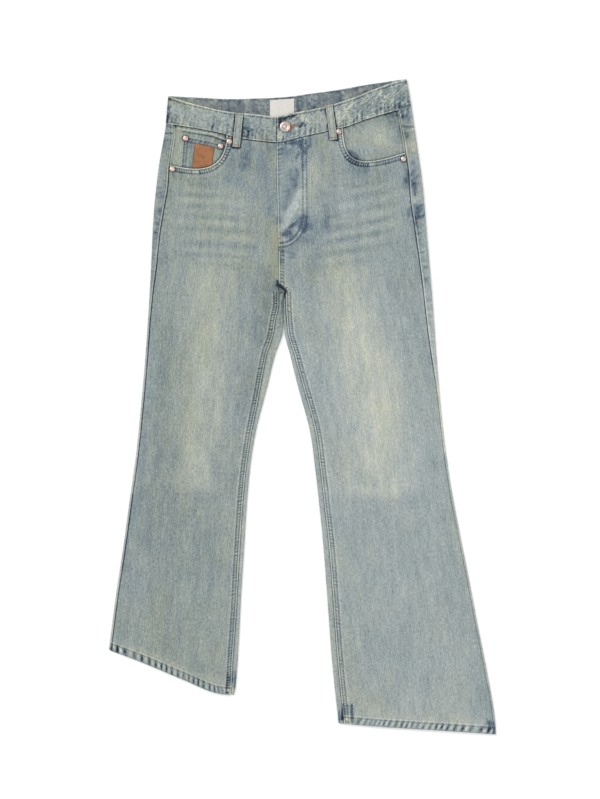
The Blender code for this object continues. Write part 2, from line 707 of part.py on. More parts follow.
def tucked_outline(top, feet):
    """A piece in the right pocket mouth: it ends where it slips under the front's edge."""
    (x0, y0), (x1, y1) = top
    edge = shifted(mouth_line("right", 40), -0.9)
    left_foot, right_foot = feet
    below_top = edge[:, 1] < np.interp(edge[:, 0], (x0, x1), (y0, y1)) - 3
    shown = edge[(edge[:, 0] > left_foot) & (edge[:, 0] < right_foot) & below_top]
    upper_edge = np.linspace((x0, y0), (x1, y1), max(2, round((x1 - x0) / 9)))
    return np.vstack([upper_edge, shown[::3]])


def coin_pocket():
    outline = tucked_outline(COIN_POCKET["top"], (COIN_POCKET["foot"], -127.2))

    def lower(across, up):
        return facing_height("right", across, up) + GAP

    def upper(across, up):
        return lower(across, up) + COIN_WALL

    return plate("coin_pocket", outline, upper, lower, "denim", spacing=9.0)


def leather_patch():
    outline = tucked_outline(PATCH["top"], PATCH["feet"])

    def lower(across, up):
        return facing_height("right", across, up) + COIN_WALL + 2 * GAP

    def upper(across, up):
        return lower(across, up) + PATCH_WALL

    return plate("leather_patch", outline, upper, lower, "leather", spacing=9.0)


def fly():
    """The stitched fly: a J-shaped double layer along the left side of the centre front."""
    top = float(smooth(WAIST_SEAM, -43)) - WAIST_GAP
    centre = centre_front_line("left", FLY_BOTTOM, top)
    turn = np.radians(np.linspace(-90, 0, 9))
    foot_x = centre[0, 0]
    reach = FLY_WIDTH
    curve = np.stack([foot_x + reach * (0.1 + 0.9 * np.cos(turn)),
                      FLY_BOTTOM + FLY_TURN + FLY_TURN * np.sin(turn)], axis=1)
    x_top = foot_x + reach
    y_top = float(smooth(WAIST_SEAM, x_top)) - WAIST_GAP
    edge = np.stack([np.full(9, x_top), stations(curve[-1, 1], y_top, 13.0)[:9]], axis=1)
    edge = np.linspace(curve[-1], (x_top - 1.0, y_top), 9)[1:]
    across = np.linspace(x_top - 1.0, centre[-1, 0], 5)[1:]
    waist = np.stack([across, smooth(WAIST_SEAM, across) - WAIST_GAP], axis=1)
    outline = joined([centre[::-1], curve, edge, waist])

    def lower(across, up):
        return front_height("left", across, up) + GAP

    def upper(across, up):
        return lower(across, up) + FLY_WALL

    return plate("fly", outline, upper, lower, "denim", spacing=13.0)


def strap(name, centre_line, width, wall, finish="denim"):
    """A flat strap along (across, up, height of its underside) points."""
    line = np.array(centre_line, float)
    plan = line[:, :2]
    left, right = (shifted(plan, d * width / 2) for d in (1, -1))
    outer, inner = [], []
    for a, b, z in zip(left, right, line[:, 2]):
        outer.append([(*a, z + wall), (*b, z + wall)])
        inner.append([(*a, z), (*b, z)])
    return shell(name, np.array(outer), np.array(inner), finish)


def front_loop(side):
    """A belt loop over the front waistband, with its lower end on the panel."""
    start, end = (np.array(p, float) for p in FRONT_LOOPS[side])
    on_band = float(band_height(side, start[0])) + 1.6 * GAP
    on_panel = float(front_height(side, np.array([end[0]]), np.array([end[1]]))[0]) + 1.6 * GAP
    rows = []
    for share in np.linspace(0, 1, 11):
        x, y = start + (end - start) * share
        past_seam = ramp((smooth(WAIST_SEAM, x) + 3.5 - y) / 10)
        arch = 0.9 * math.sin(math.pi * min(share / 0.75, 1.0))
        height = max(on_panel, on_band) + arch
        height += past_seam * (on_panel + 0.25 - max(on_panel, on_band))
        rows.append((x, y, height))
    return strap(f"belt_loop_front_{side}", rows, LOOP_WIDTH, LOOP_WALL)


def back_loop(place):
    """A belt loop under the back waistband."""
    x = BACK_LOOPS[place]
    start = float(smooth(BAND_TOP_BACK, x)) - 1.0
    end = start - BAND_HEIGHT - 12.0
    rows = [(x, y, 0.0) for y in np.linspace(start, end, 5)]
    return strap(f"belt_loop_back_{place}", rows, LOOP_WIDTH, LOOP_WALL)


def back_pocket(side):
    """A back patch pocket, which the seat lies on."""
    centre = BACK_POCKETS[side]
    corners = np.array(POCKET_SHAPE, float) + (centre, 0)
    sides = [np.linspace(a, b, max(2, round(math.dist(a, b) / 24)))
             for a, b in zip(corners, np.roll(corners, -1, axis=0))]

    def lower(across, up):
        return np.zeros(len(across))

    def upper(across, up):
        return np.full(len(across), POCKET_WALL)

    return plate(f"back_pocket_{side}", joined(sides), upper, lower, "denim", spacing=40.0)


def waist_label():
    """A blank woven label on the inside of the back waistband."""
    left, right = LABEL["across"]
    bottom_z = SEAT_LIFT + BAND_WALL + GAP
    top = [(x, float(smooth(BAND_TOP_BACK, x)) - LABEL["drop"]) for x in (left, right)]
    corners = [*top, *[(x, y - LABEL["height"]) for x, y in top[::-1]]]
    sides = [np.linspace(a, b, 4)[:-1] for a, b in zip(corners, corners[1:] + corners[:1])]

    def lower(across, up):
        return np.full(len(across), bottom_z)

    def upper(across, up):
        return np.full(len(across), bottom_z + LABEL_WALL)

    return plate("waist_label", np.vstack(sides), upper, lower, "label", spacing=12.0)


def waist_button():
    """The shank button: a dished cap with a raised middle."""
    x, y = BUTTON_AT
    stand = max(float(band_height("left", x + d)) for d in (-BUTTON_RADIUS, BUTTON_RADIUS))
    r = BUTTON_RADIUS
    profile = [(0, 0), (r * 0.5, 0), (r * 0.55, 1.2), (r * 0.92, 1.4), (r, 2.0), (r * 0.96, 2.9),
               (r * 0.84, 3.2), (r * 0.70, 2.7), (r * 0.5, 2.8), (r * 0.36, 3.3), (0, 3.6)]
    return turned("waist_button", profile, (x, y, stand + GAP), "metal", 28)


def rivet(place):
    """A domed rivet with a small nipple, on the cloth under it."""
    x, y = RIVETS[place]
    around = np.radians(np.arange(0, 360, 30))
    xs = np.append(x + RIVET_RADIUS * np.cos(around), x)
    ys = np.append(y + RIVET_RADIUS * np.sin(around), y)
    if place.startswith("coin"):
        stand = facing_height("right", xs, ys).max() + GAP + COIN_WALL
    else:
        side = "right" if "right" in place else "left"
        stand = front_height(side, xs, ys).max() + MOUTH_RIDGE
    r = RIVET_RADIUS
    profile = [(0, 0), (r * 0.95, 0), (r, 0.35), (r * 0.85, 0.85), (r * 0.5, 1.0),
               (r * 0.36, 1.45), (0, 1.65)]
    return turned(f"rivet_{place}", profile, (x, y, stand + GAP), "metal", 14)


def main():
    for old in list(bpy.data.objects):
        bpy.data.objects.remove(old)
    for side in ("right", "left"):
        front_panel(side)
        back_panel(side)
        yoke(side)
        pocket_facing(side)
        back_pocket(side)
        front_loop(side)
    for place in BACK_LOOPS:
        back_loop(place)
    waistband()
    fly()
    coin_pocket()
    leather_patch()
    waist_label()
    waist_button()
    for place in RIVETS:
        rivet(place)


main()
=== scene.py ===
# %% [markdown]
# # Bootcut jeans, laid flat
#
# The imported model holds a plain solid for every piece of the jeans. This script puts a
# finer shell of cloth on each of them, on the same form, and adds what sewing, washing
# and wearing leave behind: puckered seams, thread, faded thighs and bright metal.
#
# Everything is worked out in millimetres on the model's own axes: +X to the wearer's
# left, +Y up to the waist and +Z out of the front. A mesh is scaled to metres when it is
# made. "right" and "left" are the wearer's, so the right leg lies at -X.

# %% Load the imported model
import json
import math

import bpy
import numpy as np
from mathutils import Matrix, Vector
from mathutils.geometry import delaunay_2d_cdt


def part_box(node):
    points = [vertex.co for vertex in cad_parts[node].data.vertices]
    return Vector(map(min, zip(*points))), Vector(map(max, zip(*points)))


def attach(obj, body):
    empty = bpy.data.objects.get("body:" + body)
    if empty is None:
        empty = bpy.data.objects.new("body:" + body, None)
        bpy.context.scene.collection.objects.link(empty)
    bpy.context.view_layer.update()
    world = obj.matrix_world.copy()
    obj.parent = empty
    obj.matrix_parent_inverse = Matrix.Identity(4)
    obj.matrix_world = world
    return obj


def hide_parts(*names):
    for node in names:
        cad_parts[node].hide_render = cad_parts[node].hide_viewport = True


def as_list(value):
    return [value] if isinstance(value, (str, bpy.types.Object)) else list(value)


MM = 0.001
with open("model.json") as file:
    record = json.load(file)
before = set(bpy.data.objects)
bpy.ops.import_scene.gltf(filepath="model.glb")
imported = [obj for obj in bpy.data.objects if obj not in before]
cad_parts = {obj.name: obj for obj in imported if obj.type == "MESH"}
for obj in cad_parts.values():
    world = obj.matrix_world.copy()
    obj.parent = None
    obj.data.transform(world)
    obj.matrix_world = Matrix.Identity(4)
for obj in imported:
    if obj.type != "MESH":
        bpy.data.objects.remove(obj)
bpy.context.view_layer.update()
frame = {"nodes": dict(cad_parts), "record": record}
print("nodes in the model:", len(frame["nodes"]))

# %% [markdown]
# ## Camera, light and floor
#
# A flat lay is shot from straight above. The camera looks down with a long lens, so that
# the picture is nearly free of perspective, and it stands just high enough for 1.66 mm of
# cloth to fill one pixel. A camera without tilt could also be orthographic, but a real
# lens keeps the other views natural.

# %% Camera straight above
PIXEL = 1.66                    # millimetres of cloth to a pixel
PICTURE = (600, 799)            # pixels
AIM = (-4.15, 11.9)             # what the middle of the picture shows
LENS, SENSOR = 85.0, 36.0
CLOTH_TOP = 6.0                 # a pixel is measured at this height above the floor

camera = bpy.data.objects.new("camera", bpy.data.cameras.new("camera"))
camera.data.lens = LENS
camera.data.sensor_width = SENSOR
height = PIXEL * PICTURE[1] * LENS / SENSOR + CLOTH_TOP
camera.location = (AIM[0] * MM, AIM[1] * MM, height * MM)
bpy.context.scene.collection.objects.link(camera)
bpy.context.scene.camera = camera
print("camera height:", round(height), "mm")

# %% [markdown]
# Cloth shows its seams and folds only under light that comes from one side. One large
# soft lamp stands at the upper left, a weaker one fills from the right, and an even pale
# sky lifts the shadows. Large lamps give soft shadow edges; a point lamp would draw each
# thread's shadow hard.

# %% Soft studio light
def area_lamp(name, place, size, power):
    """A large square lamp that looks at the middle of the garment."""
    lamp = bpy.data.lights.new(name, "AREA")
    lamp.shape = "SQUARE"
    lamp.size = size
    lamp.energy = power
    lamp_object = bpy.data.objects.new(name, lamp)
    lamp_object.location = place
    lamp_object.rotation_euler = (-Vector(place)).to_track_quat("-Z", "Y").to_euler()
    bpy.context.scene.collection.objects.link(lamp_object)


area_lamp("key_lamp", (-2.2, 2.0, 3.6), 2.0, 92.0)
area_lamp("fill_lamp", (2.4, -1.4, 3.4), 2.6, 34.0)
sky = bpy.data.worlds.new("pale_sky")
sky.use_nodes = True
sky.node_tree.nodes["Background"].inputs["Color"].default_value = (1.0, 1.0, 1.0, 1.0)
sky.node_tree.nodes["Background"].inputs["Strength"].default_value = 0.66
bpy.context.scene.world = sky
bpy.context.scene.view_settings.view_transform = "Standard"

# %% A plain pale floor
FLOOR_REACH, FLOOR_DROP = 4.0, 0.0003      # metres


def new_finish(name, **values):
    """A material, its node tree and its shader, with plain values on the shader's sockets."""
    finish = bpy.data.materials.new(name)
    finish.use_nodes = True
    shader = finish.node_tree.nodes["Principled BSDF"]
    for socket, value in values.items():
        shader.inputs[socket.replace("_", " ")].default_value = value
    return finish, finish.node_tree, shader


floor_mesh = bpy.data.meshes.new("floor")
corners = [(x * FLOOR_REACH, y * FLOOR_REACH, 0)
           for x, y in ((-1, -1), (1, -1), (1, 1), (-1, 1))]
floor_mesh.from_pydata(corners, [], [(0, 1, 2, 3)])
floor = bpy.data.objects.new("floor", floor_mesh)
floor.location.z = -FLOOR_DROP
bpy.context.scene.collection.objects.link(floor)
floor_mesh.materials.append(new_finish(
    "pale_floor", Base_Color=(0.96, 0.96, 0.96, 1.0), Roughness=0.9, Specular_IOR_Level=0.1,
    Emission_Color=(1.0, 1.0, 1.0, 1.0), Emission_Strength=0.12)[0])
print("floor:", floor.dimensions[0], "m wide")

# %% [markdown]
# ## The garment's own sizes
#
# A maker cuts from a pattern. These tables are that pattern: the lines of the laid-out
# garment, each with a few named columns, and smooth curves are run through their rows.
# They are the ones that the solids were made from, so every shell lies on its solid.

# %% Sizes
GAP = 0.3                 # between sewn pieces
WAIST_GAP = 0.5           # at the waistband's lower edge
DENIM = 1.4               # one layer of washed denim
FACING = 1.0
BAND_WALL, BAND_HEIGHT = 2.4, 46.5
EDGE = 5.0                # height of a leg's folded edge
PUFF, PUFF_REACH = 1.0, 60.0
SEAT_LIFT, SEAT_LIFT_ENDS = 1.5, (94.0, 194.0)
HEM_WIDTH, HEM_RIDGE = 12.5, 0.8
FELL_WIDTH, FELL_RIDGE = 7.5, 0.7
MOUTH_WIDTH, MOUTH_RIDGE = 9.0, 0.9
SIDE_RIDGE = 0.5
RIDGE_STEP = 1.2
LOOP_WIDTH, LOOP_WALL = 12.0, 1.2
COIN_WALL, PATCH_WALL, LABEL_WALL, FLY_WALL = 0.8, 0.7, 0.5, 0.8
CENTRE_BACK, CROTCH_UP = -31.5, 190.0
SIDE_AT_CROTCH = 218.0
FLY_WIDTH, FLY_BOTTOM, FLY_TURN = 48.0, 264.0, 58.0
FACING_OVERLAP = 12.0
INWARD = {"right": 1.0, "left": -1.0}     # from the side seam towards the inseam
print("denim", DENIM, "mm, waistband", BAND_HEIGHT, "mm high")

# %% Lines of the legs
# Folded outer and inner edges. Columns: up, across.
OUTER_EDGE = {
    "right": [(516, -223), (469, -227), (396, -239), (323, -247), (204, -253), (84, -261),
              (4, -268), (-75, -276), (-155, -287), (-235, -298), (-314, -310),
              (-404, -321.5)],
    "left": [(544.5, 173), (497, 181), (443, 189), (363, 200), (270, 208), (150, 218),
             (31, 227), (-49, 235), (-128, 246), (-208, 261), (-288, 277), (-367, 292),
             (-447, 308), (-521, 320), (-544.5, 321.5)],
}
INNER_EDGE = {
    "right": [(190, -32), (127, -33), (84, -46), (31, -59), (-22, -73), (-49, -79),
              (-102, -87), (-155, -92), (-235, -97), (-314, -102), (-394, -106),
              (-464, -111), (-479, -114)],
    "left": [(190, -31), (127, -30), (84, -20), (31, -7), (-22, 8), (-49, 14),
             (-102, 21), (-155, 27), (-235, 35), (-314, 41), (-421, 49), (-526, 60)],
}
# How far each seam lies in from its folded edge. Columns: up, strip.
SIDE_STRIP = {
    "right": [(468, 12), (441, 16), (396, 17), (365, 19), (326, 16), (288, 12),
              (238, 9), (185, 5), (127, 3.4), (-404, 3.4)],
    "left": [(489, 22), (453, 21), (398, 20), (345, 22), (290, 18.5), (205, 14),
             (132, 11.5), (61, 6.5), (24, 4), (-20, 3.4), (-545, 3.4)],
}
INSEAM_STRIP = {
    "right": [(190, 7.5), (169, 7.5), (142, 12.5), (116, 15), (51, 12.5), (-14, 8),
              (-75, 6.5), (-255, 7), (-321, 6.5), (-421, 8), (-479, 6)],
    "left": [(190, 3), (169, 3.2), (141, 4.5), (94, 7), (11, 9), (-122, 8.5),
             (-281, 9.5), (-526, 9)],
}
# Lower edge of each leg. Columns: across, up.
HEM = {
    "right": [(-321.5, -404), (-268, -424), (-201, -452), (-136, -477), (-114, -479)],
    "left": [(60, -526), (135, -532), (198, -536), (262, -540), (321.5, -544.5)],
}
HEM_ENDS = {"right": (-404, -479), "left": (-544.5, -526)}   # outer edge, inner edge
# Where the left front laps over the crotch, between its inseam and the centre seam.
CROTCH_TIP = {"right": [], "left": [(-33.0, 194.2), (-38.2, 198.0)]}
YOKE_SEAM = {"right": (453, 390), "left": (464, 390)}        # at the side, at the centre
print("legs:", {side: round(abs(ends[1] - CROTCH_UP)) for side, ends in HEM_ENDS.items()},
      "mm along the inseam")

# %% Lines of the waist and the pockets
# Columns: across, up.
WAIST_SEAM = [(-227, 470), (-194, 465), (-164, 460), (-135, 454), (-105, 446), (-76, 442),
              (-43, 439), (-1, 448), (43, 458), (73, 465), (103, 476), (132, 485),
              (181, 498)]
BAND_TOP_FRONT = [(-223, 516), (-194, 506), (-164, 498), (-120, 489), (-76, 485),
                  (-43, 481), (-16, 487), (14, 493), (39, 498), (58, 504), (88, 514),
                  (117, 526), (147, 537), (173, 544.5)]
BAND_TOP_BACK = [(-223, 516), (-164, 513), (-120, 511), (-76, 512), (-31, 514), (14, 520),
                 (58, 526), (103, 534), (173, 544.5)]
# Columns: up, across.
CENTRE_FRONT = [(439, -43), (360, -42), (281, -40), (204, -39)]
CENTRE_TOP, CENTRE_FOOT = CENTRE_FRONT[0], CENTRE_FRONT[-1]
# Control points of each pocket mouth, from the waist seam to the side seam.
MOUTH = {
    "right": [(-126, 443), (-132, 396), (-162, 386), (-222, 402)],
    "left": [(67, 464), (68, 404), (90, 394), (171, 422)],
}
COIN_TOP, COIN_FOOT = [(-198, 450), (-128.5, 435.2)], -203.0
PATCH_TOP, PATCH_FEET = [(-179, 437), (-146, 431)], (-184.0, -149.5)
LABEL_ACROSS, LABEL_DROP, LABEL_HEIGHT = (-54, -14), 4.0, 30.0
FRONT_LOOPS = {"right": [(-104.5, 487), (-110, 431)], "left": [(44, 500.5), (51.5, 443)]}
BACK_LOOPS = {"right": -150.0, "centre": CENTRE_BACK, "left": 98.0}
BACK_POCKETS = {"right": -138.0, "left": 78.0}
POCKET_SHAPE = [(-72, 372), (72, 372), (65, 244), (0, 222), (-65, 244)]
# Soft folds of the front. Columns: from across, up, to across, up, half width, height.
FOLDS = [
    (-60, 225, -165, 285, 17, 0.7), (-70, 190, -190, 205, 18, 0.6),
    (-75, 150, -170, 110, 19, 0.6), (-15, 225, 95, 280, 17, 0.7), (0, 185, 130, 200, 18, 0.6),
    (20, 140, 130, 95, 19, 0.6), (-240, -90, -120, -60, 24, 0.6),
    (-260, -150, -130, -130, 26, -0.5), (50, -95, 200, -75, 24, 0.6),
    (70, -170, 225, -150, 28, -0.5), (-235, -300, -215, -400, 30, 0.5),
    (130, -360, 150, -480, 34, 0.5),
]
print("waist laid flat:", WAIST_SEAM[-1][0] - WAIST_SEAM[0][0], "mm")

# %% [markdown]
# ### Curves and distances
#
# Three small tools do most of the shaping. `smooth` runs a curve through a table without
# overshooting it. `follow` says for any point how far it is from a seam and how far along
# the seam it lies, which is just what a pucker needs. `noise` gives smooth uneven values,
# because nothing that is sewn and washed comes out even.

# %% Curves through tables
def smooth(rows, at):
    """The value at a place on a curve through (place, value) rows, without overshoot."""
    place, value = np.array(sorted(rows), float).T
    step = np.diff(place)
    rise = np.diff(value) / step
    slope = np.zeros(len(place))
    slope[0], slope[-1] = rise[0], rise[-1]
    product = rise[:-1] * rise[1:]
    total = np.where(product > 0, rise[:-1] + rise[1:], 1.0)
    slope[1:-1] = np.where(product > 0, 2 * product / total, 0.0)
    at = np.clip(np.asarray(at, float), place[0], place[-1])
    i = np.clip(np.searchsorted(place, at) - 1, 0, len(step) - 1)
    t = (at - place[i]) / step[i]
    return (value[i] * (1 + 2 * t) * (1 - t) ** 2 + value[i + 1] * t**2 * (3 - 2 * t)
            + step[i] * (slope[i] * t * (1 - t) ** 2 - slope[i + 1] * t**2 * (1 - t)))


def ramp(t):
    """0 below 0, 1 above 1, smooth between."""
    t = np.clip(t, 0.0, 1.0)
    return t * t * (3 - 2 * t)


def bump(t):
    """A soft hill: 1 at 0, and nearly 0 beyond 2 on either side."""
    return np.exp(-np.square(t))


def bezier(points, count):
    """count points along a cubic Bezier curve."""
    t = np.linspace(0, 1, count)[:, None]
    a, b, c, d = np.array(points, float)
    return a * (1 - t) ** 3 + 3 * b * t * (1 - t) ** 2 + 3 * c * t**2 * (1 - t) + d * t**3


print("waist seam at the centre:", round(float(smooth(WAIST_SEAM, CENTRE_TOP[1])), 1))


# %% Lines in the plane
def length_of(line):
    """How far along a line each of its points is."""
    steps = np.linalg.norm(np.diff(line, axis=0), axis=1)
    return np.concatenate([[0.0], np.cumsum(steps)])


def segment(x0, y0, x1, y1):
    """A straight line of two points."""
    return np.array([(x0, y0), (x1, y1)], float)


def looped(line):
    """A closed line: its first point comes again at its end."""
    return np.vstack([line, line[:1]])


def swept(loop):
    """Twice the area inside a closed line, below 0 where it runs clockwise."""
    return np.sum(loop[:-1, 0] * loop[1:, 1] - loop[1:, 0] * loop[:-1, 1])


def away_from(points, spot):
    """Each point's distance from one spot."""
    return np.hypot(points[:, 0] - spot[0], points[:, 1] - spot[1])


def resampled(line, spacing):
    """The same line with evenly spaced points."""
    along = length_of(line)
    places = np.linspace(0, along[-1], max(2, round(along[-1] / spacing) + 1))
    return np.stack([np.interp(places, along, column) for column in line.T], axis=1)


def shifted(line, distance):
    """A line moved sideways, to its left where distance is positive."""
    along = np.gradient(line, axis=0)
    along /= np.linalg.norm(along, axis=1)[:, None]
    return line + distance * np.stack([-along[:, 1], along[:, 0]], axis=1)


box = np.array([(0.0, 0.0), (3.0, 0.0), (3.0, 4.0)])
print("length of a line:", length_of(box)[-1], " area inside:", swept(looped(box)) / 2)


# %% Distances from a line
def follow(points, line):
    """Each point's distance to a line, and how far along the line its nearest place is."""
    nearest, along, passed = np.full(len(points), np.inf), np.zeros(len(points)), 0.0
    for start, end in zip(line[:-1], line[1:]):
        run = end - start
        reach = math.hypot(*run)
        if reach == 0:
            continue
        share = np.clip(((points - start) @ run) / reach**2, 0, 1)
        away = np.hypot(*(points - start - share[:, None] * run).T)
        closer = away < nearest
        along = np.where(closer, passed + share * reach, along)
        nearest = np.where(closer, away, nearest)
        passed += reach
    return nearest, along


def inside(points, outline):
    """Which points lie inside a closed outline."""
    x, y = points.T
    found = np.zeros(len(points), bool)
    for (x0, y0), (x1, y1) in zip(outline, np.roll(outline, -1, axis=0)):
        if y0 != y1:
            crosses = (y0 > y) != (y1 > y)
            found ^= crosses & (x < (x1 - x0) * (y - y0) / (y1 - y0) + x0)
    return found


print("distance and place along:", follow(np.array([(2.0, 1.0)]), box))

# %% Smooth uneven values
LATTICE = np.random.default_rng(11).random((256, 256)) * 2 - 1


def noise(across, up, size, tall=None, layers=2, seed=0):
    """Smooth uneven values from about -1 to 1, with spots of this size."""
    total, weight = 0.0, 1.0
    for layer in range(layers):
        x = np.asarray(across, float) * 2**layer / size + 37.1 * layer + 5.3 * seed + 90
        y = np.asarray(up, float) * 2**layer / (tall or size) + 11.9 * layer + 90
        i, j = np.floor(x).astype(int), np.floor(y).astype(int)
        u, v = ramp(x - i), ramp(y - j)
        rows, columns = (i % 256, (i + 1) % 256), (j % 256, (j + 1) % 256)
        low = LATTICE[rows[0], columns[0]] * (1 - u) + LATTICE[rows[1], columns[0]] * u
        high = LATTICE[rows[0], columns[1]] * (1 - u) + LATTICE[rows[1], columns[1]] * u
        total = total + weight * (low * (1 - v) + high * v)
        weight /= 2
    return total


def rope(along, pitch, seed=0, least=0.15):
    """Uneven ripples along a seam, about one to each pitch, from -1 to 1."""
    wander = 1.1 * noise(along, 17.0 * seed, 5 * pitch, seed=seed)
    strength = 0.72 + 0.4 * noise(along, 17.0 * seed + 9, 3 * pitch, seed=seed)
    return np.sin(2 * np.pi * (along / pitch + wander)) * np.clip(strength, least, 1)


def crinkle(across, up, size, tall=None, seed=0):
    """Thin crossing creases: near 1 on a crease and 0 between, as in crumpled cloth."""
    return (1 - np.clip(abs(noise(across, up, size, tall, 2, seed)), 0, 1)) ** 6


sample = noise(np.arange(1000), 0, 7)
print("noise runs from", round(float(sample.min()), 2), "to", round(float(sample.max()), 2))


# %% [markdown]
# ### Where each seam runs
#
# The back panels are cut wider than the front, so they turn up round both edges of a leg
# and meet the front along the side seam and the inseam. Rows of points run across the
# back, and each seam is found where those rows cross it. Front and back share those
# points, so the two never drift apart.

# %% Seams, and rows across the back
def side_seam(side, up):
    """Where the side seam runs across, at a place up the garment."""
    return smooth(OUTER_EDGE[side], up) + INWARD[side] * smooth(SIDE_STRIP[side], up)


def inseam(side, up):
    """The same of the inseam."""
    return smooth(INNER_EDGE[side], up) - INWARD[side] * smooth(INSEAM_STRIP[side], up)


def back_seam(across):
    """The waistband's lower edge at the back."""
    return smooth(BAND_TOP_BACK, across) - BAND_HEIGHT


def yoke_rows(side, count=24):
    """(outer up, inner up) of each row across the yoke."""
    low_side, low_centre = YOKE_SEAM[side]
    top_side = float(smooth(WAIST_SEAM, OUTER_EDGE[side][1][1]))
    top_centre = float(back_seam(CENTRE_BACK))
    return [(top_side + (low_side + GAP / 2 - top_side) * share,
             top_centre + (low_centre + GAP / 2 - top_centre) * share)
            for share in np.linspace(0, 1, count)]


def seat_rows(side, count=66):
    """(outer up, inner up, turned) of each row from the yoke seam to the crotch."""
    top_side, top_centre = (up - GAP / 2 for up in YOKE_SEAM[side])
    shares = [*np.linspace(0, 0.94, count), 0.955, 0.97, 0.985, 0.995]
    return [(top_side + (SIDE_AT_CROTCH - top_side) * share,
             top_centre + (CROTCH_UP - top_centre) * share, max(0.0, 6 * (share - 0.95)))
            for share in shares]


def leg_rows(side, count=205):
    """(outer up, inner up, growth) of each row from the crotch to the hem."""
    hem_side, hem_inner = HEM_ENDS[side]
    shares = [0.0, 0.003, *np.linspace(0.006, 1.0, count)]
    return [(SIDE_AT_CROTCH + (hem_side - SIDE_AT_CROTCH) * share,
             CROTCH_UP + (hem_inner - CROTCH_UP) * share, ramp(share / 0.006))
            for share in shares]


print("rows of a leg:", len(leg_rows("left")), " of its seat:", len(seat_rows("left")))


# %% Where the rows cross the seams
def row_ends(side, outer_up, inner_up, on_leg):
    """Ends of a row across the back: on the folded outer edge, and on the inner one."""
    inner = CENTRE_BACK - INWARD[side] * GAP / 2
    if on_leg:
        inner = float(smooth(INNER_EDGE[side], inner_up))
    return (np.array([float(smooth(OUTER_EDGE[side], outer_up)), outer_up]),
            np.array([inner, inner_up]))


def crossing(side, seam, start, end):
    """How far along a row, from its start, it crosses a seam."""
    along = (end - start) / np.linalg.norm(end - start)
    reach = 0.0
    for _ in range(6):
        reach = (float(seam(side, start[1] + reach * along[1])) - start[0]) / along[0]
    return reach


def seam_line(side, seam):
    """The front's side of a seam: a point beside the end of each row of the back."""
    rows = [(*row[:2], True) for row in leg_rows(side)]
    if seam is side_seam:
        rows = [(*row[:2], False) for row in yoke_rows(side) + seat_rows(side)] + rows
    points = []
    for row in rows:
        start, end = row_ends(side, *row)
        if seam is inseam:
            start, end = end, start
        reach = crossing(side, seam, start, end) + GAP / 2
        points.append(start + reach * (end - start) / np.linalg.norm(end - start))
    return np.array(points)


SIDE_LINE = {side: seam_line(side, side_seam) for side in INWARD}
INSEAM_LINE = {side: seam_line(side, inseam) for side in INWARD}


def stretch(line, start, end):
    """The part of a line that runs down the garment between two places up it."""
    low, high = min(start, end), max(start, end)
    ends = np.interp([-high, -low], -line[:, 1], line[:, 0])
    between = line[(line[:, 1] > low + 0.6) & (line[:, 1] < high - 0.6)]
    run = np.vstack([(ends[0], high), between, (ends[1], low)])
    return run if start > end else run[::-1]


print("points on the side seams:", {s: len(line) for s, line in SIDE_LINE.items()})


# %% Edges of the front panels
def cloth_top(across):
    """The upper end of the cloth, just under the waistband's lower edge."""
    return smooth(WAIST_SEAM, across) - WAIST_GAP


def mouth_line(side, count=60):
    """The pocket mouth, ending exactly on the waist seam and the side seam."""
    line = bezier(MOUTH[side], count)
    line[0, 1] = cloth_top(line[0, 0])
    seam = SIDE_LINE[side]
    line[-1, 0] = np.interp(-line[-1, 1], -seam[:, 1], seam[:, 0])
    return line


def centre_line(side, start, end):
    """The panel's edge at the centre front seam."""
    up = np.linspace(start, end, max(3, round(abs(end - start) / 4)))
    across = smooth(CENTRE_FRONT, up) - INWARD[side] * GAP / 2
    return np.stack([across, up], axis=1)


def waist_line(start, end, spacing=4.0):
    """The cloth's upper edge under the waistband."""
    across = np.linspace(start, end, max(3, round(abs(end - start) / spacing)))
    return np.stack([across, cloth_top(across)], axis=1)


def front_edges(side):
    """The named edges of a front panel, each a line of points, in order round it."""
    sign = INWARD[side]
    mouth = mouth_line(side)
    start = float(smooth(CENTRE_FRONT, CENTRE_TOP[0])) - sign * GAP / 2
    edge = stretch(SIDE_LINE[side], mouth[-1, 1], SIDE_LINE[side][-1, 1])
    corner = INSEAM_LINE[side][-1, 0]
    leg = stretch(INSEAM_LINE[side], float(smooth(HEM[side], corner)), CROTCH_UP)
    leg[-1, 0] -= sign * GAP
    across = np.linspace(edge[-1, 0], corner, 60)
    hem = np.stack([across, smooth(HEM[side], across)], axis=1)
    centre = centre_line(side, CENTRE_FOOT[0], cloth_top(start))
    crotch = np.array([leg[-1], *CROTCH_TIP[side], centre[0]])
    return {"waist": waist_line(start, mouth[0, 0]), "mouth": mouth, "side": edge,
            "hem": hem, "inseam": leg, "crotch": crotch, "centre": centre}


EDGES = {side: front_edges(side) for side in INWARD}
print("edges of a front:", {n: len(line) for n, line in EDGES["left"].items()})


# %% [markdown]
# ### How high the cloth lies
#
# The legs lie on the floor, the seat rides a little higher on its two pockets, and the
# front swells slightly between its edges because two layers of denim never lie dead
# flat. These functions give the plain heights of the solids.

# %% Plain heights
def base(up):
    """How far the pockets below lift the cloth."""
    low, high = SEAT_LIFT_ENDS
    return SEAT_LIFT * ramp((up - low) / (high - low))


def folds(points):
    """Soft folds pressed into the front."""
    rise = np.zeros(len(points))
    for *ends, half_width, height in FOLDS:
        away, _ = follow(points, segment(*ends))
        rise += height * bump(away / half_width)
    return rise


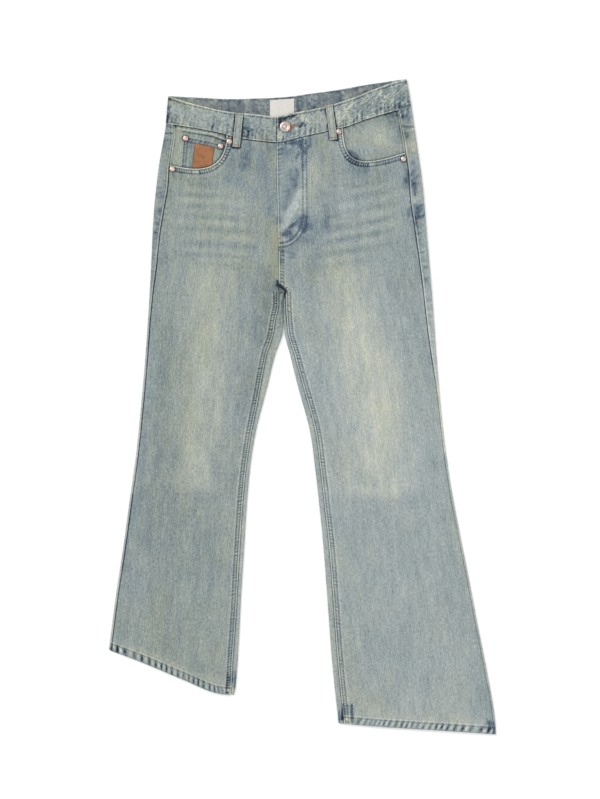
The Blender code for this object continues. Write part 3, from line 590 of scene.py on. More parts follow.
def front_height(side, points):
    """Upper face of a front panel, without its ridges."""
    across, up = points.T
    sign = INWARD[side]
    from_outer = sign * (across - smooth(OUTER_EDGE[side], up))
    from_inner = np.where(up < CROTCH_UP, sign * (smooth(INNER_EDGE[side], up) - across),
                          np.hypot(across - CENTRE_BACK, up - CROTCH_UP))
    swell = ramp((np.minimum(from_outer, from_inner) - EDGE / 2) / PUFF_REACH)
    return base(up) + EDGE + swell * (PUFF + folds(points))


def facing_height(side, points):
    """Upper face of the piece inside a pocket mouth."""
    across, up = points.T
    from_seam = INWARD[side] * (across - side_seam(side, up))
    clear_of_mouth = ramp((up - MOUTH[side][3][1] - 14) / 16)
    rise = 1.2 * ramp(1 - from_seam / 14) * clear_of_mouth
    return front_height(side, points) - DENIM - GAP + rise


def band_height(side, across):
    """Upper face of the front waistband; its buttoned left end stands over the right."""
    from_side = INWARD[side] * (across - smooth(OUTER_EDGE[side], 490.0))
    from_centre = abs(across - CENTRE_TOP[1])
    middle = 0.9 * ramp(from_side / PUFF_REACH)
    tab = 0.9 * ramp(1 - from_centre / 80) if side == "left" else 0.0
    return SEAT_LIFT + EDGE + 1.1 + middle + tab


print("front at the knee:", round(float(front_height("left", np.array([[120.0, -80]]))[0]), 2),
      "mm above the floor")

# %% [markdown]
# ## The wash
#
# These jeans were rinsed pale, then rubbed along the thighs down to the knees, and
# tinted slightly yellow. What was pressed tight against a seam stayed blue. Painted
# textures would need an image; here each vertex gets a few numbers instead, and the
# material turns them into colour:
#
# - wash: 0 where the indigo is deep, 1 where it is all but gone, with some painted shade
#   and painted light mixed in
# - tint: how yellow the cloth has turned, from 0 to 2 here and from 0 to 1 on the mesh
# - rust: the brown stain around a rivet

# %% Tones of the legs and rubbed thighs
# Rubbed thighs, each as a line down the leg. Columns: across, up.
FADES = {"right": [(-149, 262), (-151, 200), (-160, 90), (-165, 0), (-172, -72), (-182, -150)],
         "left": [(70, 262), (78, 177), (100, 94), (119, 11), (128, -72), (132, -158)]}
FADE_WIDTH = {"right": 44.0, "left": 56.0}
FADE_STRENGTH = {"right": 0.185, "left": 0.215}
LEG_TONE = {"right": 0.446, "left": 0.558}
LEG_TINT = {"right": 0.56, "left": 0.13}
SEAT_TONE = 0.50
SEAT_TINT = {"right": 0.60, "left": 0.38}
print("fade widths:", FADE_WIDTH, " tones of the legs:", LEG_TONE)

# %% Whiskers
# Worn by sitting. Columns: from across, up, to across, up, half width, strength.
WHISKERS = [
    (-214, 363, -110, 354, 4.5, 0.08), (-224, 345, -84, 335, 4.5, 0.13),
    (-205, 326, -90, 316, 4, 0.12), (-226, 310, -76, 299, 5, 0.13),
    (-200, 286, -66, 273, 5.5, 0.14), (-222, 265, -66, 254, 4.5, 0.09),
    (-200, 245, -74, 240, 4.5, 0.07), (60, 350, 165, 376, 4, 0.09),
    (38, 322, 168, 355, 4.5, 0.11), (30, 300, 172, 334, 5, 0.12), (30, 278, 165, 311, 4.5, 0.11),
    (16, 256, 172, 289, 5, 0.1), (10, 236, 160, 264, 4.5, 0.08),
]


def whiskers_at(points):
    """Pale above 0 and blue below it, where sitting has worn the cloth across."""
    total = np.zeros(len(points))
    wander = 1.6 * noise(*points.T, 26, 9, seed=7)
    for x0, y0, x1, y1, half_width, strength in WHISKERS:
        middle = (y0 + y1) / 2 + 2.5 * math.sin(x0)
        bent = bezier([(x0, y0), (0.7 * x0 + 0.3 * x1, middle), (0.3 * x0 + 0.7 * x1, middle),
                       (x1, y1)], 9)
        away, along = follow(points, bent)
        away = away + wander
        faint = np.clip(0.51 + 0.37 * noise(along, y0, 30), 0.08, 0.9)
        faint = faint * ramp(along / 30) * ramp((length_of(bent)[-1] - along) / 30)
        total += strength * faint * (bump(away / half_width)
                                     - 0.8 * bump((away - 2 * half_width) / half_width))
    return total


print("whiskers:", len(WHISKERS))

# %% Paler and darker areas
# Columns: from across, up, to across, up, half width, wash, tint.
# Most rows are the wash's own tones. The pale rows along the legs' rounded outer edges are
# painted light in the shade of the rounding, and the dark row at across -38, up 200 to 140 is
# painted shade between the legs.
SHADES = [
    (-14, 440, -24, 335, 12, 0, -0.6), (168, 470, 172, 415, 7, 0, 1),
    (-195, 450, -190, 410, 8, 0, 0.7), (-150, 432, -160, 402, 8, 0, 0.8),
    (-236, 395, -240, 350, 8, 0, -0.6), (-276, -40, -283, -120, 6, 0.02, 0.7),
    (-312, -310, -318, -390, 6, 0.05, 0.5), (-228, 506, -190, 500, 9, 0, 0.9),
    (12, 400, 8, 335, 6, 0.12, 0), (27, 420, 22, 380, 7, 0.06, 0.2),
    (-52, 305, -48, 228, 10, 0.03, 1), (-215, 392, -160, 374, 10, -0.03, 0.5),
    (-120, 408, -122, 378, 8, -0.08, 0), (78, 420, 104, 394, 8, -0.23, -0.3),
    (112, 404, 162, 411, 5, -0.08, 0.1), (95, 440, 125, 442, 14, 0.05, 0.2),
    (36, 352, 38, 300, 12, -0.1, -0.2), (-38, 312, 44, 304, 8, -0.06, 0),
    (-230, 474, -235, 428, 7, -0.12, 0.3), (146, 492, 166, 456, 15, -0.26, 0.1),
    (190, 330, 204, 200, 10, -0.08, -0.8), (55, 222, 88, 150, 20, 0.02, 0.9),
    (-12, 452, -16, 400, 13, 0, -1.5), (-74, 415, -58, 330, 14, -0.07, -0.5),
    (-60, 205, -52, 100, 12, 0.03, 0.8), (130, 366, 140, 296, 22, 0.03, 0.5),
    (203, 112, 206, 45, 6, -0.12, -0.4), (18, 240, 20, 120, 14, -0.07, 0.1),
    (-93, -40, -104, -260, 9, 0.07, -0.1), (28, -20, 38, -180, 8, 0.04, 0.1),
    (5, 112, 14, 30, 7, 0.06, 0), (-262, 60, -326, -400, 6, 0.11, 0.2),
    (-273, -40, -281, -140, 5, 0.15, 0.2), (223, 120, 236, -70, 6, 0.16, 0.6),
    (-175, 150, -200, -210, 16, 0, 0.4), (-262, -50, -278, -140, 12, -0.02, 0),
    (-110, 10, -116, -40, 14, 0, -0.6), (-290, -275, -250, -380, 30, 0.01, 0.1),
    (-225, -428, -160, -455, 14, 0.05, 0.3), (80, -480, 130, -505, 18, 0.03, 0.7),
    (150, -515, 300, -525, 12, 0.03, 0.4), (-24, 395, -28, 338, 8, -0.03, -0.1),
    (-250, 265, -253, 245, 6, -0.08, 0), (-236, 415, -246, 300, 5, 0.05, 0.2),
    (-200, 446, -120, 440, 10, -0.06, 0.2), (-210, 470, -215, 380, 12, 0, 0.7),
    (-150, 415, -140, 400, 12, 0, 0.5), (-165, 295, -75, 285, 16, 0, 0.6),
    (-100, 478, -100, 440, 8, -0.05, 0), (-60, 226, -60, 110, 16, -0.08, -0.2),
    (-208, 80, -230, -190, 28, -0.06, 0.1), (48, -290, 64, -500, 8, -0.02, 0.3),
    (300, -470, 320, -540, 12, -0.08, -0.2), (235, -180, 275, -370, 14, -0.02, -0.2),
    (-300, -396, -200, -440, 12, 0.03, 0.1), (-150, -458, -114, -468, 12, 0.06, 0.3),
    (85, 120, 150, -20, 40, -0.02, 0.2), (172, 400, 182, 366, 6, -0.12, 0),
    (-224, 372, -222, 350, 8, -0.06, 0), (-228, 335, -232, 250, 9, -0.08, 0),
    (2, 312, 22, 290, 11, -0.14, -0.3), (42, 332, 42, 300, 8, -0.07, 0),
    (-52, 345, -50, 318, 5, -0.06, 0), (-38, 200, -32, 140, 7, -0.15, 0.3),
    (20, 225, 170, 195, 36, -0.06, 0), (-230, 232, -90, 214, 26, -0.05, 0),
    (-228, 130, -250, -220, 13, -0.04, 0.2), (10, 190, 185, 120, 44, -0.04, -0.2),
    (-115, -170, -135, -430, 24, 0.05, 0.1), (105, 340, 180, 240, 26, 0, -0.4),
    (-180, 350, -110, 290, 30, 0, 0.25), (-150, 235, -150, 190, 22, 0.02, 0.4),
    (102, -143, 162, -146, 9, 0.06, 0.3), (-28, 290, 6, 298, 9, -0.12, 0),
    (-112, 372, -76, 352, 13, -0.05, -0.8), (-240, 372, -248, 195, 8, -0.07, 0),
    (-190, 226, -186, 214, 12, -0.04, 0), (130, 292, 168, 262, 14, -0.04, 0),
    (-282, -160, -298, -262, 8, -0.06, 0), (-262, -429, -200, -454, 3, -0.1, -0.2),
    (-62, 42, -76, -5, 6, 0.05, 0.3), (-118, -100, -128, -250, 14, 0.03, 0),
    (205, -300, 255, -500, 32, 0.04, 0.1), (-235, 514, -192, 512, 8, 0, 1.6),
    (-200, 470, -188, 445, 9, 0, 1), (-62, 446, -52, 402, 9, 0.04, 1.2),
    (-168, 404, -160, 398, 7, 0, 1.2), (-90, 412, -82, 396, 7, 0, 0.8),
    (-45, 300, -40, 262, 6, 0.03, 0.6), (-130, 245, -72, 228, 12, 0, 0.4),
    (-95, 68, -88, 38, 8, 0.03, 0.8), (200, 205, 212, 150, 8, 0.07, 0),
    (-205, -142, -178, -176, 14, 0.05, 0.4), (-248, 356, -256, 285, 4, 0.12, 0.3),
    (30, -25, 56, -290, 6, 0.04, 0.2), (85, -75, 112, -132, 14, -0.08, -0.1),
    (115, 255, 118, 200, 12, -0.04, 0), (112, -158, 205, -178, 14, 0.03, 0),
    (-246, 68, -232, 20, 12, 0.03, 0.2), (-276, -405, -250, -415, 8, 0.05, 0.5),
    (-262, 110, -274, 10, 8, 0, -0.7), (-176, 80, -168, 20, 14, -0.03, -0.6),
    (70, 470, 128, 415, 22, 0, 0.4), (192, 475, 186, 428, 9, 0, 0.8),
    (-190, 380, -162, 320, 14, 0, 0.4), (20, 398, 18, 352, 9, 0.05, 0.8),
    (-40, 288, -42, 215, 7, 0, 0.6), (-45, 232, -20, 150, 16, 0, 0.9),
    (-22, 282, 6, 276, 9, -0.19, -0.4), (-266, 130, -268, 70, 10, 0, -0.4),
    (-232, -315, -236, -390, 14, 0, 0.7), (80, -395, 88, -465, 14, 0, 0.4),
    (-256, 130, -260, 20, 14, 0, -0.5), (-266, -50, -276, -180, 13, -0.02, -0.6),
    (-94, 180, -96, 60, 13, 0, -0.4), (-135, -12, -98, -26, 14, 0, -0.5),
    (-296, -225, -290, -272, 12, -0.04, -0.9), (150, 395, 170, 352, 16, 0, -0.6),
    (186, 325, 190, 290, 9, -0.1, -0.8), (-40, 350, -30, 310, 11, 0, -0.7),
    (-12, 450, -2, 408, 12, 0, -0.8), (102, 424, 130, 424, 8, -0.04, -0.9),
    (-158, 165, -160, 70, 16, 0, 0.5), (134, -65, 136, -125, 12, 0, 0.3),
    (50, 175, 56, 115, 13, 0, 0.5), (86, 172, 90, 132, 12, 0, -0.6),
    (26, 446, 30, 436, 7, 0.04, 1), (43, 410, 42, 385, 7, 0, 0.8), (93, 403, 100, 396, 8, 0, 0.6),
    (84, -517, 90, -522, 8, 0, 0.8), (184, 452, 186, 428, 7, 0.06, 0.6),
    (150, 276, 152, 270, 12, -0.06, 0), (-172, -94, -168, -112, 14, -0.03, 0),
    (0, 390, 0, 378, 6, 0.09, 0), (-256, 356, -258, 332, 5, 0.1, 0),
    (-319, -345, -327, -400, 5, 0.12, 0.2), (-15, 190, -8, 150, 6, 0.07, 0.2),
    (223, 62, 228, 16, 5, 0.08, 0.1), (232, -100, 312, -480, 7, 0, 0.4),
    (38, -200, 58, -480, 6, 0.02, 0.2), (70, -330, 78, -450, 8, 0.03, 0.4),
    (-105, 30, -100, -40, 12, -0.03, 0), (-75, 60, -85, 20, 9, 0, 0.4),
    (-108, -150, -112, -205, 7, 0, 0.5), (72, 352, 74, 328, 10, 0, -0.5),
    (80, 396, 92, 385, 9, -0.08, -0.6), (52, 446, 58, 424, 14, 0.08, 0),
    (14, 392, 16, 360, 8, 0.06, 0), (-225, 452, -228, 425, 8, -0.05, -0.3),
    (-125, 452, -120, 430, 12, -0.06, 0), (-22, 300, -36, 262, 6, 0.06, 0.4),
    (108, 10, 116, -40, 12, 0, -0.4), (176, -95, 178, -125, 8, 0, -0.6),
    (-130, -250, -200, -262, 10, 0, 0.4), (-240, 100, -244, 70, 12, 0, -0.4),
    (68, 356, 66, 330, 9, 0, -0.4), (225, 60, 236, -60, 7, 0, 0.4),
    (185, 395, 176, 352, 9, -0.04, -0.5), (0, 222, 20, 212, 10, 0, 0.4),
    (110, -205, 116, -260, 14, 0.02, 0.3), (150, -490, 260, -505, 16, 0.03, 0),
    (130, -180, 250, -230, 20, 0.02, 0), (130, 442, 152, 434, 14, 0.05, 0),
    (90, -505, 300, -530, 14, 0.04, 0), (-225, -335, -262, -400, 20, 0.03, 0.2),
    (-281, -110, -325, -390, 5, 0.08, 0.1),
]
print("paler and darker areas:", len(SHADES))

# %% Patches that stayed blue
# Columns: across, up, half width, half height, strength.
BLUE_PATCHES = [
    (-18, 439, 14, 5, 0.6), (0, 432, 9, 14, 0.34), (0, 404, 5, 18, 0.22), (-8, 415, 6, 6, 0.3),
    (-34, 424, 6, 10, 0.14), (13, 438, 4, 9, 0.26), (-14, 439, 20, 6, 0.32),
    (-24, 346, 9, 18, 0.1), (-13, 378, 9, 20, 0.14), (0, 304, 7, 13, 0.42),
    (-26, 285, 7, 6, 0.28), (-30, 268, 6, 7, 0.14), (-16, 264, 10, 5, 0.14),
    (-35, 246, 3.5, 12, 0.26), (-17, 251, 5, 5, 0.18), (84, 414, 12, 10, 0.2),
    (-52, 432, 6, 7, 0.06), (-88, 430, 10, 8, 0.14), (-97, 408, 8, 22, 0.14),
    (-44, 190, 8, 14, 0.1), (-72, 150, 12, 40, 0.07), (186, 380, 7, 18, 0.4),
    (168, 486, 8, 11, 0.44), (173, 379, 6, 16, 0.24), (194, 323, 9, 10, 0.46),
    (181, 318, 7, 12, 0.24), (188, 372, 3.5, 20, 0.3), (174, 480, 7, 6, 0.12),
    (-238, 352, 5, 12, 0.16), (-241, 322, 6, 12, 0.12), (-244, 280, 5, 12, 0.1),
    (-216, 468, 10, 6, 0.26), (-206, 386, 10, 8, 0.14), (74, -504, 7, 9, 0.32),
    (-118, -455, 6, 9, 0.26), (312, -530, 10, 9, 0.5), (-314, -405, 6, 5, 0.2),
    (218, 40, 7, 60, 0.06), (-20, 424, 11, 13, 0.16), (-40, 308, 10, 7, 0.1),
    (-28, 273, 7, 7, 0.12), (-36, 147, 5, 12, 0.08), (-233, 472, 6, 7, 0.12),
    (-100, 447, 13, 7, 0.1), (-140, 436, 6, 12, 0.08),
]
print("blue patches:", len(BLUE_PATCHES))

# %% Small sharp marks
# Columns: from across, up, half width, to across, up, half width, wash, tint.
# The first four rows are painted shadow in the gap where the legs meet.
MARKS = [
    (-29, 190, 2.2, -30, 184, 1.6, -0.8, 0), (-30, 184, 1.6, -33, 175, 2.4, -0.8, 0),
    (-33, 176, 2.4, -33, 169, 2.4, -0.8, 0), (-33, 169, 1.8, -32.4, 146, 1.6, -0.6, 0),
    (-35, 204, 3.4, -29, 198, 2.8, 0.08, 1.6), (67.5, -494, 1.4, 66.5, -517, 3.4, -0.62, 0),
    (81.5, -494, 1.6, 82.5, -522, 3.2, -0.64, 0), (61, -506, 1.4, 59.5, -524, 2.4, -0.34, 0.6),
    (74, -518, 5.5, 74, -525, 5.5, 0.16, 0.9), (-124.5, -441, 1.2, -125, -466, 3, -0.5, 0),
    (-111.5, -440, 1.2, -112, -466, 2.8, -0.5, 0),
    (-118, -468, 4.5, -118.5, -476, 4.5, 0.14, 0.6), (-22, 297, 2, 2, 312, 5, -0.44, 0),
    (3, 316, 2.4, 4.5, 296, 2.4, -0.1, 0), (-28, 294, 2.4, -20, 288, 1.6, -0.18, 0),
    (187.6, 315, 1.2, 188, 301, 1.8, -0.6, 0), (196.5, 314, 0.9, 197, 303, 1.2, -0.3, 0),
    (174, 497, 2, 176, 472, 2.4, -0.2, 0), (-205, 461.5, 1.3, -150, 452.5, 1.5, 0.24, 0.5),
    (-150, 452.5, 1.5, -123, 442, 1.8, 0.3, 0.5), (-200, 457, 1.1, -150, 448.6, 1.3, -0.34, 0),
    (-150, 448.6, 1.3, -129, 440.5, 1.5, -0.4, 0), (187, 350, 4, 188, 338, 4, 0.1, 0.8),
    (183, 436, 3.5, 184, 426, 3.5, 0.12, 0.8),
]
# Where the legs meet, folded deep: a groove, painted near black as shadow. Columns: across,
# up, half width.
CROTCH_CREASE = [(-41.8, 210.0, 1.2), (-40.4, 202.5, 2.6), (-34.0, 196.0, 4.2),
                 (-28.8, 191.5, 3.4)]
# Middle of each rivet: across, up.
RIVETS = {"coin_outer": (-194, 445.5), "coin_inner": (-136, 432.5),
          "mouth_right_side": (-216, 394.5), "mouth_right_waist": (-121.4, 440),
          "mouth_left_waist": (60.3, 456.5), "mouth_left_side": (167.5, 411)}


def taper(points, x0, y0, w0, x1, y1, w1):
    """1 inside a line whose half width changes from end to end, falling off softly."""
    away, along = follow(points, segment(x0, y0, x1, y1))
    half_width = w0 + (w1 - w0) * along / math.hypot(x1 - x0, y1 - y0)
    return ramp(1.5 - away / half_width)


def wedge(points, rows):
    """1 inside a chain of tapers."""
    found = np.zeros(len(points))
    for start, end in zip(rows[:-1], rows[1:]):
        found = np.maximum(found, taper(points, *start, *end))
    return found


def marks_at(points):
    """(wash, tint) that the small sharp marks add, with painted shadow round each rivet's rim."""
    wash, tint = np.zeros(len(points)), np.zeros(len(points))
    for *shape, change, tone in MARKS:
        near = taper(points, *shape)
        wash += change * near
        tint += tone * near
    for spot in RIVETS.values():
        # Painted shadow round the rim of each rivet.
        wash -= 0.45 * bump((away_from(points, spot) - 5.0) / 1.2)
    return wash, tint


print("marks:", len(MARKS), " rivets:", len(RIVETS))


# %% Wash and tint of any place
def wash_at(side, points, shown=1.0):
    """(wash, tint) of plain cloth; the front's own marks fade out where shown falls to 0."""
    across, up = points.T
    on_leg = ramp((262 - up) / 90)
    wash = SEAT_TONE + (LEG_TONE[side] - SEAT_TONE) * on_leg
    tint = SEAT_TINT[side] + (LEG_TINT[side] - SEAT_TINT[side]) * on_leg
    uneven = 1 + 0.25 * noise(across, up, 12, seed=12)
    for *ends, half_width, change, tone in SHADES:
        away, _ = follow(points, segment(*ends))
        near = bump(away * uneven / half_width) * shown
        wash = wash + change * near
        tint = tint + tone * near
    # The hips and the centre front hold a little more indigo than the lap.
    wash = wash - 0.055 * ramp((up - 335) / 50) * (1 - ramp((up - 440) / 20)) * shown
    wash = wash - 0.06 * bump((across + 45) / 26) * ramp((up - 215) / 60) * shown
    wash = wash + 0.030 * noise(across, up, 24, 44) + 0.022 * noise(across, up, 7, 11)
    # Thighs rubbed pale, and whiskers across them.
    line = np.array(FADES[side], float)
    away, along = follow(points, line)
    away = away + 7 * noise(across, up, 34, 60, seed=3)
    ends = ramp(along / 55) * ramp((length_of(line)[-1] - along) / 24)
    worn = FADE_STRENGTH[side] * bump(away / FADE_WIDTH[side]) * ends
    worn = worn * (1 + 0.25 * noise(across, up, 14, 40, seed=4)) * (0.3 + 0.7 * shown)
    creased = whiskers_at(points) * shown
    wash = wash + creased
    # Patches that stayed blue, broken by pale creases.
    blue = np.zeros(len(points))
    uneven = 1 + 0.3 * noise(across, up, 7, seed=5)
    for x, y, half_width, half_height, strength in BLUE_PATCHES:
        away = np.hypot((across - x) / half_width, (up - y) / half_height)
        blue = np.maximum(blue, strength * ramp((1.5 - away * uneven) / 0.85))
    blue = blue * shown
    broken = 0.85 + 0.5 * noise(across, up, 5, 8, 2, seed=6)
    wash = wash - blue * broken + 0.55 * blue * crinkle(across, up, 9, 14, seed=9)
    wash = wash + worn
    tint = tint + 2.4 * worn + 1.5 * creased - 0.8 * blue
    tint = tint + 0.24 * noise(across, up, 40, 60, seed=2) + 0.15 * noise(across, up, 9, 14)
    marks, tones = marks_at(points)
    # The crotch crease is painted near black, as shadow in the fold.
    wash = np.maximum(wash + marks * shown, 0.09) - wedge(points, CROTCH_CREASE) * shown
    return wash, tint + tones * shown


knees = {side: wash_at(side, np.array([FADES[side][4]], float))[0] for side in INWARD}
print("wash at the knees:", {side: np.round(wash, 3) for side, wash in knees.items()})


# %% Shade beside the loops, rust round the metal
def loop_indigo_and_shadow(points):
    """Kept indigo and painted shadow beside the front belt loops, deeper on their left side."""
    shade = np.zeros(len(points))
    for ends in FRONT_LOOPS.values():
        line = np.array(ends, float)
        away, _ = follow(points, line)
        lean = np.interp(points[:, 1], line[::-1, 1], line[::-1, 0])
        strength = np.where(points[:, 0] > lean, 0.70, 0.50)
        uneven = 1 + 0.4 * noise(*points.T, 6, 11, seed=10)
        uneven = uneven * ramp((points[:, 1] - line[1, 1] + 4.0) / 3.0)
        shade = np.maximum(shade, strength * uneven * ramp((9.4 - away) / 2.2))
    return shade


# Columns: spot, reach of its stain. The last is the button's.
STAINS = [*((spot, 6.0) for spot in RIVETS.values()), ((-25, 464), 10.5)]


def rust_at(points):
    """Brown stain that the metal leaves on the cloth."""
    rust = np.zeros(len(points))
    uneven = 1 + 0.5 * noise(*points.T, 4, seed=8)
    for spot, reach in STAINS:
        rust = np.maximum(rust, uneven * ramp((reach - away_from(points, spot)) / 3.5))
    return np.clip(rust, 0, 1)


spots = np.array([(-115.0, 455.0), RIVETS["coin_outer"]])
print("beside a loop and under a rivet: shade", np.round(loop_indigo_and_shadow(spots), 2), "rust",
      np.round(rust_at(spots), 2))

# %% [markdown]
# ## Colour of washed denim
#
# Denim is a twill: pale weft yarns under indigo warp yarns, so colour changes from yarn
# to yarn. A flat colour, however well chosen, reads as paper. The effect is shared by
# every denim piece, so it is one node group: it takes the three numbers from the mesh
# and gives back a colour and a height for the bump.

# %% Node helpers
def linear(*rgb):
    """A colour given 0 to 255, as Blender's linear values."""
    return tuple((c / 255 / 12.92) if c <= 10.3 else ((c / 255 + 0.055) / 1.055) ** 2.4
                 for c in rgb) + (1.0,)


def add(tree, kind, **settings):
    """A new node; its settings name either a property or an input."""
    node = tree.nodes.new(kind)
    for name, value in settings.items():
        if hasattr(node, name):
            setattr(node, name, value)
        else:
            node.inputs[name.replace("_", " ")].default_value = value
    return node


def math_node(tree, operation, first, second=None, third=None, clamp=False):
    """A Math node's output, from sockets or plain numbers."""
    node = add(tree, "ShaderNodeMath", operation=operation, use_clamp=clamp)
    for i, value in enumerate((first, second, third)):
        if value is None:
            continue
        if isinstance(value, (int, float)):
            node.inputs[i].default_value = value
        else:
            tree.links.new(value, node.inputs[i])
    return node.outputs[0]


def stretched(tree, source, across, along, turn=0.0):
    """Texture coordinates in yarn-sized units, from the cloth's own map in metres."""
    node = add(tree, "ShaderNodeMapping", vector_type="TEXTURE", Rotation=(0.0, 0.0, turn),
               Scale=(across * MM, along * MM, 1.0))
    tree.links.new(source, node.inputs["Vector"])
    return node.outputs[0]


def noise_node(tree, vector, detail=2.0, roughness=0.5):
    """Flat noise with spots as large as the units of its coordinates."""
    node = add(tree, "ShaderNodeTexNoise", noise_dimensions="2D", Scale=1.0, Detail=detail,
               Roughness=roughness)
    tree.links.new(vector, node.inputs["Vector"])
    return node.outputs[0]


print("indigo in linear values:", [round(v, 3) for v in linear(84, 106, 126)])


# %% Ramps, mixes, mesh numbers and groups
def ramp_node(tree, factor, stops):
    """A colour ramp from (place, colour) stops."""
    node = tree.nodes.new("ShaderNodeValToRGB")
    band = node.color_ramp
    while len(band.elements) < len(stops):
        band.elements.new(0.5)
    for element, (place, colour) in zip(band.elements, stops):
        element.position = place
        element.color = colour
    tree.links.new(factor, node.inputs[0])
    return node.outputs[0]


def mix_node(tree, factor, first, second, blend="MIX"):
    """A colour Mix node's output, from sockets, numbers or colours."""
    node = add(tree, "ShaderNodeMix", data_type="RGBA", blend_type=blend)
    colour_sockets = (node.inputs[0], node.inputs[6], node.inputs[7])     # factor, A, B
    for socket, value in zip(colour_sockets, (factor, first, second)):
        if isinstance(value, (int, float, tuple)):
            socket.default_value = value
        else:
            tree.links.new(value, socket)
    return node.outputs[2]


def number_of(tree, mask):
    """One of the numbers that each vertex of the cloth carries."""
    return add(tree, "ShaderNodeAttribute", attribute_name=mask).outputs["Fac"]


def map_of(tree):
    """Places on the flat cloth, in metres."""
    return add(tree, "ShaderNodeUVMap", uv_map="cloth_map").outputs[0]


def bumped(tree, shader, height, strength, distance):
    """A bump on the shader's normal; distance is in millimetres."""
    node = add(tree, "ShaderNodeBump", Strength=strength, Distance=distance * MM)
    tree.links.new(height, node.inputs["Height"])
    tree.links.new(node.outputs[0], shader.inputs["Normal"])


def new_group(name, inputs, outputs):
    """A shader group with named sockets: (name, type, default) in, (name, type) out."""
    group = bpy.data.node_groups.new(name, "ShaderNodeTree")
    for socket_name, kind, default in inputs:
        socket = group.interface.new_socket(socket_name, in_out="INPUT",
                                            socket_type="NodeSocket" + kind)
        if default is not None:
            socket.default_value = default
    for socket_name, kind in outputs:
        group.interface.new_socket(socket_name, in_out="OUTPUT",
                                   socket_type="NodeSocket" + kind)
    return group, group.nodes.new("NodeGroupInput"), group.nodes.new("NodeGroupOutput")


print("a bump of 0.35 mm is", 0.35 * MM, "in the scene's metres")

# %% Yarns of the twill
yarns, yarns_in, yarns_out = new_group(
    "twill yarns", [("Cloth Map", "Vector", None)],
    [("Streaks", "Float"), ("Mottle", "Float"), ("Height", "Float")])
cloth_map = yarns_in.outputs["Cloth Map"]
long_slubs = noise_node(yarns, stretched(yarns, cloth_map, 2.0, 22.0), 1.0)
short_slubs = noise_node(yarns, stretched(yarns, cloth_map, 1.9, 5.0), 1.0, 0.6)
weft_slubs = noise_node(yarns, stretched(yarns, cloth_map, 5.0, 2.0), 1.0)
clouds = noise_node(yarns, stretched(yarns, cloth_map, 11.0, 75.0), 2.0)
streaks = math_node(yarns, "MULTIPLY_ADD", long_slubs, 1.0, -0.5)
streaks = math_node(yarns, "MULTIPLY_ADD", short_slubs, 1.6,
                    math_node(yarns, "SUBTRACT", streaks, 0.8))
streaks = math_node(yarns, "MULTIPLY_ADD", weft_slubs, 0.8,
                    math_node(yarns, "SUBTRACT", streaks, 0.4))
twill = add(yarns, "ShaderNodeTexWave", wave_type="BANDS", bands_direction="X", Scale=1.0,
            Distortion=0.6, Detail=1.0)
twill_map = stretched(yarns, cloth_map, 4.1, 4.1, math.radians(-27))
yarns.links.new(twill_map, twill.inputs["Vector"])
height_of = math_node(yarns, "MULTIPLY_ADD", twill.outputs["Fac"], 0.5, short_slubs)
yarns.links.new(streaks, yarns_out.inputs["Streaks"])
yarns.links.new(clouds, yarns_out.inputs["Mottle"])
yarns.links.new(height_of, yarns_out.inputs["Height"])
print("twill yarns:", len(yarns.nodes), "nodes")

# %% Indigo that has washed out
# The darkest stop, nearly black, is painted shadow for the deepest crease; the others run from
# deep indigo to washed out.
WASH_COLOURS = [
    (0.00, linear(33, 39, 46)), (0.07, linear(60, 78, 96)), (0.24, linear(101, 117, 128)),
    (0.44, linear(136, 148, 150)), (0.62, linear(157, 167, 167)),
    (0.80, linear(180, 187, 185)), (1.00, linear(213, 211, 203)),
]
indigo, indigo_in, indigo_out = new_group(
    "washed indigo",
    [("Cloth Map", "Vector", None), ("Wash", "Float", 0.5), ("Tint", "Float", 0.3),
     ("Rust", "Float", 0.0), ("Contrast", "Float", 1.0)],
    [("Colour", "Color"), ("Height", "Float")])
woven = add(indigo, "ShaderNodeGroup", node_tree=yarns)
indigo.links.new(indigo_in.outputs["Cloth Map"], woven.inputs["Cloth Map"])
uneven = math_node(indigo, "MULTIPLY_ADD", woven.outputs["Streaks"], 0.045,
                   indigo_in.outputs["Wash"])
patchy = math_node(indigo, "MULTIPLY_ADD", woven.outputs["Mottle"], 0.22, -0.11)
patchy = math_node(indigo, "MULTIPLY", patchy, indigo_in.outputs["Contrast"])
level = math_node(indigo, "ADD", uneven, patchy, clamp=True)
blue = ramp_node(indigo, level, WASH_COLOURS)
fineness = math_node(indigo, "MULTIPLY_ADD", level, -0.40, 0.60)
yarn_shade = math_node(indigo, "MULTIPLY_ADD", woven.outputs["Streaks"], fineness, 1.0)
blue = mix_node(indigo, 1.0, blue, yarn_shade, "MULTIPLY")
yellowing = math_node(indigo, "MULTIPLY_ADD", woven.outputs["Mottle"], 0.65, -0.325)
yellowing = math_node(indigo, "ADD", yellowing, indigo_in.outputs["Tint"], clamp=True)
tinted = mix_node(indigo, yellowing, blue, (1.075, 1.0, 0.79, 1.0), "MULTIPLY")
stained = mix_node(indigo, indigo_in.outputs["Rust"], tinted, linear(150, 106, 76))
indigo.links.new(stained, indigo_out.inputs["Colour"])
indigo.links.new(woven.outputs["Height"], indigo_out.inputs["Height"])
print("washed indigo:", len(indigo.nodes), "nodes")


